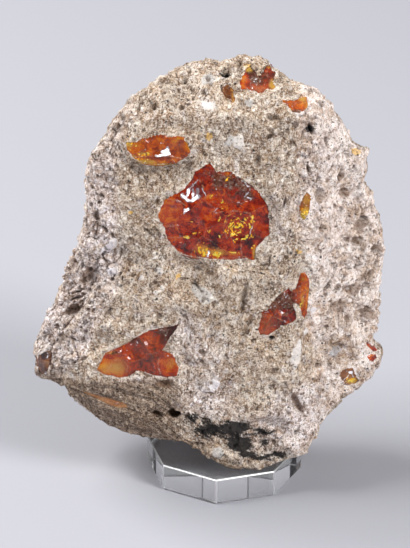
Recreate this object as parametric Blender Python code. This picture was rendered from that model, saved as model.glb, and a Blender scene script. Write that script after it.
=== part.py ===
"""Opal specimen: one lump of pale volcanic rock holding nodules of orange-red fire opal,
resting on a clear eight-sided display base.

The lump is measured in a working plane through its middle that leans back by LEAN.
On that plane a runs to the right and b up the slope, and t is the distance behind it, all in mm.
The lump has a front sheet and a back sheet, which meet along its outline. Each sheet is one flat
plane with folds: past a fold's line, the surface falls away by the fold's slope.
The origin is the middle of the underside of the base, +Z is up, and the front faces -Y.
"""

import itertools
import math

import bpy
import numpy as np

MM = 0.001

# ---------------------------------------------------------------- driving dimensions, in mm
BASE_FLATS = 50.0  # across the flats of the octagon
BASE_THICK = 9.5
BASE_TURN = math.radians(-6.2)  # turn of the octagon's corners about Z
BASE_EDGE = 0.4  # polished chamfer on the rims of the base
GAP = 0.3  # left between pieces that touch

LEAN = math.radians(26.4)
MIDDLE = np.array((-6.7, 0.0, 74.2))
SPREAD = 800.0  # the lump widens towards its back by one part in SPREAD for each mm

OUTLINE = (
    (12.8, 73.8), (19.2, 72.8), (28.6, 64.7), (38.1, 61.3), (46.1, 49.2), (54.2, 40.4),
    (53.0, 32.0), (58.9, 19.9), (59.6, 11.5), (58.9, 1.3), (56.2, -20.5), (58.9, -25.6),
    (58.6, -31.0), (55.2, -34.7), (45.5, -41.1), (38.7, -50.9), (33.0, -59.3), (27.6, -62.6),
    (16.5, -66.7), (6.7, -64.3), (-1.0, -60.0), (-7.7, -55.9), (-19.5, -53.9), (-28.0, -52.9),
    (-34.0, -49.5), (-40.4, -44.5), (-47.2, -37.4), (-56.6, -33.3), (-58.3, -23.6),
    (-50.5, -10.8), (-45.5, 4.7), (-42.1, 9.4), (-39.1, 26.6), (-39.4, 38.4), (-33.3, 49.2),
    (-24.1, 60.0), (-15.8, 65.7), (-6.4, 71.2), (5.4, 71.6),
)
HEART = (2.0, -3.0)  # where the sheets are measured out from, inside the outline

# A plane: t at the middle, and how much t grows for each mm up the slope.
FRONT_PLANE = (-18.2, -0.353)  # a broken face leaning back by 7 degrees
BACK_PLANE = (33.5, -0.497)  # upright
# A fold: a point on its line, the way it faces in degrees, its slope, how far its turn is rounded.
FRONT_FOLDS = (
    (0.0, 52.0, 90.0, 0.90, 1.6),  # the top of the lump
    (-27.0, 50.0, 130.0, 0.45, 3.0),  # its upper left corner
    (34.0, 0.0, -3.0, 0.84, 1.6),  # right side
    (-38.0, 0.0, 180.0, 0.90, 2.0),  # left side
    (0.0, -46.1, -109.0, 0.35, 1.2),  # rough chamfer along the foot
    (0.0, -59.7, -115.0, 0.95, 1.0),  # the underside below the seam
)
BACK_FOLDS = (
    (0.0, 40.0, 90.0, 0.25, 3.0),
    (-30.0, 0.0, 172.0, 0.80, 3.0),
    (34.0, 0.0, 8.0, 0.50, 3.0),
    (0.0, -41.4, -90.0, 2.51, 9.0),  # the level underside over the base
)
RIM_DROP = 4.0  # how far the outline lies behind the edge of the front sheet, at the top

# Hollows and lumps of the sheets: a, b, half width, half height, depth in mm.
FRONT_HOLLOWS = (
    (-42.0, 0.0, 13.0, 20.0, 5.0),  # the waist on the left
    (-32.0, 7.1, 4.2, 2.4, 2.2),  # crescent crack
    (-46.4, -3.0, 3.2, 4.5, 3.0),
    (-38.0, -1.5, 3.4, 4.4, 2.4),
    (-43.5, -12.0, 3.6, 3.0, 2.4),
    (8.0, -55.5, 15.0, 5.5, 2.6),  # dark hollow over the toe
    (-11.5, -46.0, 3.6, 2.2, 2.4),
    (31.0, -44.5, 2.8, 3.6, 1.8),
    (46.0, 20.0, 9.0, 14.0, 1.6),
    (50.0, 43.0, 7.0, 6.0, -2.0),  # brown knob on the right shoulder
    (-22.0, 22.0, 12.0, 9.0, -1.4),
    (20.0, -32.0, 15.0, 10.0, -1.6),
)
BACK_HOLLOWS = (
    (12.0, 42.0, 16.0, 9.0, 3.6),
    (-22.0, -14.0, 11.0, 16.0, 3.2),
    (30.0, -24.0, 14.0, 10.0, -3.0),
    (2.0, 8.0, 14.0, 10.0, -2.4),
    (40.0, 14.0, 6.0, 9.0, 3.0),
)
# Roughness of the broken rock, in mm: the size of the shapes and how far they stand out.
SWELLS = ((34.0, 2.0), (16.0, 1.3))  # broad and soft, and fading out where the sheets turn over
CHIPS = (13.0, 4.2)  # flakes knocked out of the surface
KNOBS = (9.0, 2.4)  # harder lumps left standing
CRUMBS = (8.0, 1.2)

ROCK_GRID = 30  # squares along each side of a sheet
CAP = 0.93  # part of the way to the outline where a sheet turns over to meet the other
CAP_SQUARES = {"front": 0.88, "back": 0.74}  # share of the squares inside the cap
INNER = 0.82  # part of the way out where the swells begin to fade

# ---------------------------------------------------------------- nodules
# Name, sheet, centre (a, b), bulge, depth, and the outline about the centre, all in mm.
NODULES = (
    ("opal_centre", "front", (2.9, 19.5), 1.8, 9.0,
     ((19.0, -0.3), (18.6, 3.7), (15.3, 8.1), (10.2, 12.5), (4.8, 15.2), (0.8, 15.2),
      (-1.2, 18.2), (-6.3, 15.2), (-7.6, 12.5), (-10.6, 8.8), (-17.2, 5.4), (-19.1, 0.0),
      (-17.2, -3.7), (-16.0, -8.0), (-12.0, -12.4), (-7.3, -13.8), (2.8, -14.8), (11.6, -14.3),
      (13.9, -15.5), (14.6, -10.4), (19.0, -6.0))),
    ("opal_upper_left", "front", (-15.8, 41.8), 0.9, 4.5,
     ((-11.5, 2.7), (-6.1, 5.0), (0.0, 5.4), (4.0, 4.0), (8.1, 4.3), (11.1, -0.4), (9.4, -3.4),
      (6.4, -4.8), (0.0, -5.1), (-7.4, -3.1), (-11.1, -1.0))),
    ("opal_top", "front", (18.0, 64.7), 0.6, 3.0,
     ((-7.0, 0.0), (-4.7, 2.9), (-3.8, 3.7), (-2.0, 3.6), (-0.7, 2.5), (1.1, 2.5), (2.9, 2.9),
      (3.4, 5.9), (4.5, 5.4), (6.2, 2.5), (5.0, 0.5), (6.2, -1.4), (5.2, -2.7), (3.4, -2.5),
      (0.7, -4.5), (-1.4, -2.9), (-3.8, -3.2), (-6.1, -1.8))),
    ("opal_shard", "front", (7.9, 60.9), 0.4, 2.0,
     ((-0.5, 2.6), (-3.2, 0.7), (-1.1, -0.9), (0.2, -2.0), (1.6, -4.2), (2.5, -2.1), (1.5, 0.2),
      (0.7, 1.8))),
    ("opal_upper_right", "front", (30.9, 56.6), 0.5, 2.2,
     ((-4.7, 1.4), (-0.9, 1.7), (1.8, 2.7), (4.1, 0.0), (1.8, -2.7), (-2.5, -1.6), (-3.6, 0.0))),
    ("opal_yellow", "front", (33.7, 22.9), 0.5, 2.4,
     ((0.9, 4.6), (-0.6, 3.4), (-1.6, 1.0), (-1.9, -1.5), (-1.3, -4.0), (-0.4, -4.7),
      (0.8, -3.2), (1.6, -0.8), (2.0, 1.6), (1.8, 3.9))),
    ("opal_blade", "front", (33.2, -7.3), 0.8, 2.6,
     ((0.4, 8.1), (-1.4, 7.3), (-2.0, 4.9), (-1.8, 1.7), (-2.4, -0.6), (-1.5, -3.6),
      (-0.9, -6.2), (-0.1, -7.2), (0.9, -7.1), (1.3, -3.4), (1.9, 1.3), (2.1, 4.5), (1.2, 6.7))),
    ("opal_right_lens", "front", (24.8, -14.2), 0.8, 4.0,
     ((-5.7, 1.9), (-2.6, 4.1), (-0.2, 6.9), (3.0, 8.6), (4.1, 6.6), (4.9, 3.9), (5.5, 1.0),
      (5.6, -0.9), (4.1, -2.6), (0.2, -3.9), (-1.7, -5.4), (-4.3, -6.7), (-7.3, -6.1),
      (-7.1, -4.7), (-6.9, -1.7))),
    ("opal_lower_left", "front", (-20.3, -28.0), 1.2, 6.0,
     ((10.9, 11.4), (10.4, 8.7), (7.6, 4.7), (5.0, 2.2), (9.0, 1.2), (10.9, -2.4), (11.6, -4.9),
      (9.2, -6.7), (4.7, -5.7), (0.9, -6.4), (-2.6, -4.7), (-4.7, -6.4), (-8.3, -7.2),
      (-13.0, -5.4), (-16.1, -4.7), (-13.7, -0.9), (-13.5, 1.4), (-7.8, 4.0), (-3.1, 6.4),
      (0.0, 9.0), (7.1, 9.9))),
    ("opal_far_left", "front", (-54.0, -29.8), 0.6, 2.4,
     ((1.9, 4.3), (0.9, 3.9), (-0.6, 2.8), (-1.5, 1.3), (-1.9, -0.4), (-1.9, -2.3), (-1.3, -3.1),
      (0.0, -3.4), (1.0, -3.4), (1.7, -1.0), (2.4, 1.9), (2.6, 3.2))),
    ("opal_right_sliver", "front", (56.0, -24.6), 0.4, 1.6,
     ((-1.9, 1.5), (-0.9, 1.4), (1.9, -0.9), (1.8, -1.5), (0.4, -1.1), (-1.2, 0.3))),
    ("opal_right_bead", "front", (56.2, -28.2), 0.4, 1.6,
     ((-1.6, 0.5), (-0.4, 1.2), (1.2, 1.0), (1.6, 0.0), (0.4, -1.2), (-0.5, -1.1))),
    ("opal_lower_right", "front", (48.4, -34.5), 0.6, 2.4,
     ((-3.2, 1.5), (-0.8, 2.8), (1.4, 2.7), (2.6, 0.6), (3.2, -1.5), (1.9, -2.7), (-1.2, -2.3),
      (-2.8, -0.9))),
    ("opal_seam", "front", (-32.8, -42.6), 0.3, 1.8,
     ((-9.3, 3.5), (-4.6, 2.2), (-0.5, 1.1), (4.6, -0.3), (7.0, -1.4), (7.2, -2.4), (4.6, -2.8),
      (1.0, -1.7), (-3.1, 0.4), (-7.2, 2.2))),
    ("opal_back_upper", "back", (-8.0, 30.0), 1.0, 4.5,
     ((8.4, 0.8), (6.0, 4.2), (1.0, 5.6), (-4.6, 4.4), (-8.0, 1.2), (-7.2, -2.8), (-3.0, -4.2),
      (2.4, -3.4), (6.8, -3.0))),
    ("opal_back_lower", "back", (24.0, -6.0), 0.8, 3.6,
     ((5.8, 1.4), (3.2, 4.6), (-1.2, 4.0), (-5.4, 2.6), (-6.6, -1.0), (-3.0, -3.8), (2.0, -3.0),
      (5.2, -2.2))),
    ("opal_back_left", "back", (-36.0, 6.0), 0.6, 3.0,
     ((3.6, 0.6), (1.8, 4.4), (-1.2, 5.2), (-2.8, 1.4), (-3.2, -3.0), (-0.6, -5.0),
      (2.2, -3.4))),
)
RINGS = {"opal_centre": 4, "opal_lower_left": 3, "opal_upper_left": 3}  # others have 2
LENS_STEP = 3.2  # about how far apart the points of a nodule's rim are
CALM = 4.0  # width of the even rock around a nodule
# Conchoidal scoops on the broken face of a nodule: place in it, half width and depth in mm.
SCOOPS = {
    "opal_centre": ((-8.0, 2.0, 9.0, 1.6), (6.0, -4.0, 10.0, 1.5), (-1.0, 10.0, 7.0, 1.2),
                    (11.0, 5.0, 6.0, 1.0), (-3.0, -9.0, 7.0, 1.2)),
    "opal_lower_left": ((4.0, 4.0, 6.0, 0.9), (-8.0, -2.0, 5.0, 0.8), (6.0, -3.0, 5.0, 0.8)),
    "opal_upper_left": ((-4.0, 0.0, 5.0, 0.7), (5.0, 0.5, 4.0, 0.7)),
}

# ---------------------------------------------------------------- materials
ROCK = ((0.60, 0.53, 0.45), 0.92)  # colour, roughness
OPAL = ((0.80, 0.22, 0.04), 0.10)
ACRYLIC = ((0.94, 0.95, 0.96), 0.05)


def material(name, look, clear=False):
    made = bpy.data.materials.new(name)
    made.use_nodes = True
    inputs = made.node_tree.nodes["Principled BSDF"].inputs
    colour, roughness = look
    inputs["Base Color"].default_value = (*colour, 1.0)
    inputs["Roughness"].default_value = roughness
    inputs["Metallic"].default_value = 0.0
    inputs["Transmission Weight"].default_value = 1.0 if clear else 0.0
    made.diffuse_color = (*colour, 1.0)
    return made


def add_mesh(name, points_mm, faces, look):
    """An object made of points in mm and faces, at the world's origin."""
    mesh = bpy.data.meshes.new(name)
    mesh.from_pydata((np.asarray(points_mm) * MM).tolist(), [], faces)
    mesh.update()
    made = bpy.data.objects.new(name, mesh)
    bpy.context.scene.collection.objects.link(made)
    if look is not None:
        mesh.materials.append(look)
    return made


# ---------------------------------------------------------------- the lump's form
def place(a, b, t):
    """World points of (a, b, t): the middle, plus a and b spread by the depth, plus t along the depth."""
    wider = 1.0 + t / SPREAD
    across = np.stack((a * wider, b * wider * math.sin(LEAN), b * wider * math.cos(LEAN)), -1)
    depth = np.stack((0 * t, t * math.cos(LEAN), -t * math.sin(LEAN)), -1)
    return MIDDLE + across + depth


def reach(points, centre, angle):
    """Distance from the centre to a closed outline in the given directions."""
    x, y = (np.array(points, float) - centre).T
    at = np.arctan2(y, x)
    order = np.argsort(at)
    return np.interp(angle, at[order], np.hypot(x, y)[order], period=2 * math.pi)


def soft(x, rounded):
    """max(x, 0) with its corner rounded."""
    return 0.5 * (x + np.sqrt(x * x + rounded * rounded))


def folded(a, b, plane, folds, hollows):
    """Depth of a plane with folds and hollows; a back sheet counts them the other way."""
    away = 1.0 if plane is FRONT_PLANE else -1.0
    t = plane[0] + plane[1] * b
    for a0, b0, facing, slope, rounded in folds:
        facing = math.radians(facing)
        past = (a - a0) * math.cos(facing) + (b - b0) * math.sin(facing)
        t = t + away * slope * soft(past, rounded)
    for a0, b0, wide, high, deep in hollows:
        t = t + away * deep * np.exp(-(((a - a0) / wide) ** 2) - ((b - b0) / high) ** 2)
    return t


def sheet(a, b, side):
    """Depth of the front or back surface at (a, b), turned over near the outline to meet the rim."""
    angle = np.arctan2(b - HEART[1], a - HEART[0])
    edge = reach(OUTLINE, HEART, angle)
    out = np.hypot(a - HEART[0], b - HEART[1]) / edge
    rim_a = HEART[0] + edge * np.cos(angle)
    rim_b = HEART[1] + edge * np.sin(angle)
    rim = folded(rim_a, rim_b, FRONT_PLANE, FRONT_FOLDS, FRONT_HOLLOWS)
    rim = rim + 0.3 + RIM_DROP * 0.5 * (1.0 + np.sin(angle))
    turn = np.sqrt(1.0 - np.clip((out - CAP) / (1.0 - CAP), 0.0, 1.0) ** 2)
    if side == "front":
        flat = folded(a, b, FRONT_PLANE, FRONT_FOLDS, FRONT_HOLLOWS)
    else:
        flat = np.maximum(folded(a, b, BACK_PLANE, BACK_FOLDS, BACK_HOLLOWS), rim + 3.0)
    return rim + (flat - rim) * turn


def noise(points, size, seed):
    """Smooth noise from -1 to 1: hashed values on a cubic lattice, blended by 3x^2 - 2x^3."""
    cell = np.floor(points / size).astype(np.int64)
    part = points / size - cell
    blend = part * part * (3.0 - 2.0 * part)
    total = np.zeros(len(points))
    for corner in itertools.product((0, 1), repeat=3):
        key = (cell + corner) @ np.array((73856093, 19349663, 83492791)) + seed * 7919
        key = ((key ^ (key >> 15)) * 2246822519) & 0xFFFFFFFF
        key = ((key ^ (key >> 13)) * 3266489917) & 0xFFFFFFFF
        value = ((key ^ (key >> 16)) & 0xFFFF) / 32767.5 - 1.0
        total += value * np.prod(np.where(corner, blend, 1.0 - blend), axis=1)
    return total


def above(values, level):
    """0 up to a level, then rising to 1."""
    return np.clip((values - level) / (1.0 - level), 0.0, 1.0)


def roughness(points, inner):
    """How far the broken rock stands out: swells inside the rim, less the chips, plus knobs and crumbs."""
    swells = sum(high * noise(points, size, seed) for seed, (size, high) in enumerate(SWELLS))
    chips = CHIPS[1] * above(noise(points, CHIPS[0], 5), 0.2)
    knobs = KNOBS[1] * above(noise(points, KNOBS[0], 6), 0.3)
    return swells * inner - chips + knobs + CRUMBS[1] * noise(points, CRUMBS[0], 7)


def calm_around_nodules(a, b, side):
    """0 on a nodule's outline and inside it, rising to 1 over CALM mm of rock around it."""
    calm = np.ones_like(a)
    for _, on, centre, _, _, outline in NODULES:
        if on == side:
            x, y = a - centre[0], b - centre[1]
            beyond = np.hypot(x, y) - reach(outline, (0.0, 0.0), np.arctan2(y, x))
            calm = np.minimum(calm, np.clip(beyond / CALM, 0.0, 1.0))
    return calm


def square_to_disc(count):
    """Radius (0 to 1) and angle of a square grid's points, with squares kept as even as they can be."""
    step = np.linspace(-1.0, 1.0, count + 1)
    x, y = np.meshgrid(step, step, indexing="ij")
    wide = np.abs(x) > np.abs(y)
    along = np.where(wide, x, y)
    other = np.where(wide, y, x) / np.where(along == 0.0, 1.0, along) * math.pi / 4
    angle = np.where(wide, other, math.pi / 2 - other) + np.where(along < 0.0, math.pi, 0.0)
    return np.abs(along), angle


def sheet_points(side):
    """a, b and part of the way out of a sheet's grid, its squares shared by the cap and the turned edge."""
    radius, angle = square_to_disc(ROCK_GRID)
    share = CAP_SQUARES[side]
    turned = np.clip((radius - share) / (1.0 - share), 0.0, 1.0) * math.pi / 2
    out = np.where(radius < share, CAP * radius / share, CAP + (1.0 - CAP) * np.sin(turned))
    edge = reach(OUTLINE, HEART, angle)
    return HEART[0] + edge * out * np.cos(angle), HEART[1] + edge * out * np.sin(angle), out


def grid_faces(numbers):
    """The squares of a grid of point numbers."""
    corners = (numbers[:-1, :-1], numbers[1:, :-1], numbers[1:, 1:], numbers[:-1, 1:])
    return np.stack(corners, -1).reshape(-1, 4)


def build_rock(look):
    """Both sheets joined along the outline, then roughened along their normals."""
    size = ROCK_GRID + 1
    front = np.arange(size * size).reshape(size, size)
    back = front.copy()
    back[1:-1, 1:-1] = size * size + np.arange((size - 2) ** 2).reshape(size - 2, size - 2)
    points, calm, inner = [], [], []
    for side, keep in (("front", slice(None)), ("back", slice(1, -1))):
        a, b, out = (grid[keep, keep].ravel() for grid in sheet_points(side))
        points.append(place(a, b, sheet(a, b, side)))
        calm.append(calm_around_nodules(a, b, side))
        inner.append(np.clip((1.0 - out) / (1.0 - INNER), 0.0, 1.0))
    points, calm, inner = (np.concatenate(part) for part in (points, calm, inner))
    faces = np.concatenate((grid_faces(front), grid_faces(back)[:, ::-1])).tolist()
    rock = add_mesh("matrix", points, faces, look)
    normals = np.empty(len(points) * 3)
    rock.data.vertices.foreach_get("normal", normals)
    points = points + normals.reshape(-1, 3) * (roughness(points, inner) * calm)[:, None]
    points[:, 2] = np.maximum(points[:, 2], BASE_THICK + GAP)  # it stands on the base
    rock.data.vertices.foreach_set("co", (points * MM).ravel())
    rock.data.update()
    return rock


# ---------------------------------------------------------------- nodules of opal
def scooped(name, x, y):
    """Depth of the conchoidal scoops: the deepest of the shallow bowls at (x, y)."""
    deep = np.zeros_like(x)
    for x0, y0, wide, depth in SCOOPS.get(name, ()):
        bowl = depth * (1.0 - ((x - x0) ** 2 + (y - y0) ** 2) / wide**2)
        deep = np.maximum(deep, bowl)
    return deep


def lens_points(nodule, grow=0.0, lift=0.0):
    """Rings of a nodule from its front's centre over the rim to its back's centre.

    The front stands out by bulge (1 - r^2), less the scoops; the back is sunk by depth sqrt(1 - r^2).
    """
    name, side, centre, bulge, depth, outline = nodule
    away = 1.0 if side == "front" else -1.0
    rings = RINGS.get(name, 2)
    around = sum(math.dist(here, there) for here, there in zip(outline, outline[1:] + outline[:1]))
    turns = np.linspace(-math.pi, math.pi, max(10, round(around / LENS_STEP)), endpoint=False)
    edge = reach(outline, (0.0, 0.0), turns) + grow

    def ring(r, front):
        x, y = edge * r * np.cos(turns), edge * r * np.sin(turns)
        t = sheet(centre[0] + x, centre[1] + y, side)
        if front:
            t = t - away * (bulge * (1.0 - r * r) + lift - scooped(name, x, y) * (r < 1.0))
        else:
            t = t + away * ((depth + grow) * math.sqrt(1.0 - r * r) + 0.4)
        return place(centre[0] + x, centre[1] + y, t)

    rows = [ring(k / rings, True) for k in range(rings if lift else 1, rings + 1)]
    rows += [ring(1.0, False)]
    rows += [ring(k / (rings - 0.6), False) for k in range(rings - 1, 0, -1)]
    ends = [ring(0.0, True)[:1], ring(0.0, False)[:1]]
    return np.concatenate([ends[0], *rows, ends[1]]), len(turns), len(rows)


def build_lens(name, nodule, look, **change):
    points, round_count, rows = lens_points(nodule, **change)
    flip = 1 if nodule[1] == "front" else -1
    last = len(points) - 1
    faces = []
    for k in range(round_count):
        here, there = 1 + k, 1 + (k + 1) % round_count
        faces.append((0, here, there)[::flip])
        for row in range(rows - 1):
            low, high = row * round_count, (row + 1) * round_count
            faces.append((here + low, here + high, there + high, there + low)[::flip])
        under = (rows - 1) * round_count
        faces.append((here + under, last, there + under)[::flip])
    return add_mesh(name, points, faces, look)


def cut_pocket(rock, nodule):
    """A pocket in the rock, GAP wider than the nodule and open towards the outside."""
    cutter = build_lens(f"pocket_of_{nodule[0]}", nodule, None, grow=GAP, lift=6.0)
    cutter.hide_render = True
    cutter.display_type = "WIRE"
    cut = rock.modifiers.new(cutter.name, "BOOLEAN")
    cut.operation = "DIFFERENCE"
    cut.solver = "EXACT"
    cut.object = cutter


# ---------------------------------------------------------------- clear base
def build_base(look):
    """An eight-sided slab with chamfered rims, its corners turned by BASE_TURN."""
    corner = BASE_FLATS / 2 / math.cos(math.pi / 8)
    turns = [BASE_TURN - math.pi / 2 + k * math.pi / 4 for k in range(8)]
    inner = corner - BASE_EDGE
    levels = (
        (inner, 0.0),
        (corner, BASE_EDGE),
        (corner, BASE_THICK - BASE_EDGE),
        (inner, BASE_THICK),
    )
    points = [(r * math.cos(turn), r * math.sin(turn), z) for r, z in levels for turn in turns]
    faces = [tuple(range(7, -1, -1)), tuple(range(24, 32))]
    for level, k in itertools.product(range(3), range(8)):
        low, high, after = level * 8, (level + 1) * 8, (k + 1) % 8
        faces.append((low + k, low + after, high + after, high + k))
    return add_mesh("base", points, faces, look)


def main():
    for old in list(bpy.data.objects):
        bpy.data.objects.remove(old, do_unlink=True)
    rock = build_rock(material("matrix", ROCK))
    for nodule in NODULES:
        build_lens(nodule[0], nodule, material(nodule[0], OPAL, clear=True))
        cut_pocket(rock, nodule)
    build_base(material("base", ACRYLIC, clear=True))


main()
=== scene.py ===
"""The looks of an opal specimen, worked out around its frame: a lump of pale volcanic rock holding
nodules of orange-red fire opal, resting on a clear eight-sided display base.
"""

import itertools
import math

import bpy
import numpy as np
from mathutils import Matrix, Vector


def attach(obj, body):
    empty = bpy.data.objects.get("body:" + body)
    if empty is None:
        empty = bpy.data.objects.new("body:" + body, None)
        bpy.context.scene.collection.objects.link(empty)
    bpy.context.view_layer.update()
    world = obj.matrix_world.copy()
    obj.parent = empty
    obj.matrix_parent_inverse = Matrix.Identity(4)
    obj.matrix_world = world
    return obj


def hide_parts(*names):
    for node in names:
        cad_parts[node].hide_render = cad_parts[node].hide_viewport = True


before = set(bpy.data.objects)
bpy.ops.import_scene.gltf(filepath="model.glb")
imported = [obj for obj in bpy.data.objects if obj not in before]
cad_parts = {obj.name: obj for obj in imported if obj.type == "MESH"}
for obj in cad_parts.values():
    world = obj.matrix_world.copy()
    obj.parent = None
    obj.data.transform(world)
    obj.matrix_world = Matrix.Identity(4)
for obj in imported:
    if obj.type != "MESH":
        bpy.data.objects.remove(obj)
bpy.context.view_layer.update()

# ======================================================================= the lump of rock
# One piece of pale volcanic rock, knocked from its bed: a flat broken face in front, folds at its
# sides and foot, and the grain, chips, pits and clasts of a welded tuff. It stands on the base by
# its own weight.

# It is measured from a working plane through its middle that leans back by LEAN: a runs to the
# right, b up the slope, and t is the distance behind the plane, in mm.
MM = 0.001
LEAN = math.radians(26.4)
MIDDLE = np.array((-6.7, 0.0, 74.2))
SPREAD = 800.0  # the lump widens towards its back by one part in SPREAD for each mm
REST = 9.8  # height of the foot over the ground, just clear of the base

# The lump's outline seen square on, clockwise from its top.
OUTLINE = (
    (12.8, 73.8), (19.2, 72.8), (28.6, 64.7), (38.1, 61.3), (46.1, 49.2), (54.2, 40.4),
    (53.0, 32.0), (58.9, 19.9), (59.6, 11.5), (58.9, 1.3), (56.2, -20.5), (58.9, -25.6),
    (58.6, -31.0), (55.2, -34.7), (45.5, -41.1), (38.7, -50.9), (33.0, -59.3), (27.6, -62.6),
    (16.5, -66.7), (6.7, -64.3), (-1.0, -60.0), (-7.7, -55.9), (-19.5, -53.9), (-28.0, -52.9),
    (-34.0, -49.5), (-40.4, -44.5), (-47.2, -37.4), (-56.6, -33.3), (-58.3, -23.6),
    (-50.5, -10.8), (-45.5, 4.7), (-42.1, 9.4), (-39.1, 26.6), (-39.4, 38.4), (-33.3, 49.2),
    (-24.1, 60.0), (-15.8, 65.7), (-6.4, 71.2), (5.4, 71.6),
)
HEART = (2.0, -3.0)  # where the sheets are measured out from, inside the outline
FRONT_PLANE = (-18.2, -0.353)  # t at the middle, and its growth for each mm up the slope
BACK_PLANE = (33.5, -0.497)
# Folds, beyond whose lines a sheet bends away: a and b of a point on the line, the way it faces in
# degrees, its slope, and how far its turn is rounded.
FRONT_FOLDS = (
    (0.0, 52.0, 90.0, 0.90, 1.6),
    (-27.0, 50.0, 130.0, 0.45, 3.0),
    (34.0, 0.0, -3.0, 0.84, 1.6),
    (-38.0, 0.0, 180.0, 0.90, 2.0),
    (0.0, -46.1, -109.0, 0.35, 1.2),
    (0.0, -59.7, -115.0, 0.95, 1.0),
)
BACK_FOLDS = (
    (0.0, 40.0, 90.0, 0.25, 3.0),
    (-30.0, 0.0, 172.0, 0.80, 3.0),
    (34.0, 0.0, 8.0, 0.50, 3.0),
    (0.0, -41.4, -90.0, 2.51, 9.0),
)
RIM_BEHIND = 0.3  # the rim lies this far behind the front sheet at the foot,
RIM_DROP = 4.0  # and this much further at the top
BACK_BEHIND = 3.0  # the back sheet is at least this far behind the rim
# Wide hollows (+) and swellings (-) of the sheets: a, b, half width, half height, depth.
FRONT_HOLLOWS = (
    (-42.0, 0.0, 13.0, 20.0, 5.0),
    (-32.0, 7.1, 4.2, 2.4, 2.2),
    (-46.4, -3.0, 3.2, 4.5, 3.0),
    (-38.0, -1.5, 3.4, 4.4, 2.4),
    (-43.5, -12.0, 3.6, 3.0, 2.4),
    (8.0, -55.5, 15.0, 5.5, 2.6),
    (-11.5, -46.0, 3.6, 2.2, 2.4),
    (31.0, -44.5, 2.8, 3.6, 1.8),
    (46.0, 20.0, 9.0, 14.0, 1.6),
    (50.0, 43.0, 7.0, 6.0, -2.0),
    (-22.0, 22.0, 12.0, 9.0, -1.4),
    (20.0, -32.0, 15.0, 10.0, -1.6),
)
BACK_HOLLOWS = (
    (12.0, 42.0, 16.0, 9.0, 3.6),
    (-22.0, -14.0, 11.0, 16.0, 3.2),
    (30.0, -24.0, 14.0, 10.0, -3.0),
    (2.0, 8.0, 14.0, 10.0, -2.4),
    (40.0, 14.0, 6.0, 9.0, 3.0),
)
# What breaks up the even form, as size and height: swells that fade towards the rim, chips knocked
# out, knobs left standing, and crumbs over everything.
SWELLS = ((34.0, 2.0), (16.0, 1.3))
CHIPS = (13.0, 4.2)
KNOBS = (9.0, 2.4)
CRUMBS = (8.0, 1.2)
RIM_SHARE = 0.45  # of the chips and knobs, what is left on the rim
INNER = 0.82  # part of the way out where the swells start to fade
FRONT_GRID = 280  # squares along a side of the front's grid
BACK_GRID = FRONT_GRID // 2
CAP = 0.93  # part of the way out where a sheet starts to turn into the rim
CAP_SQUARES = {"front": 0.88, "back": 0.74}  # share of the squares that lie before that turn

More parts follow.
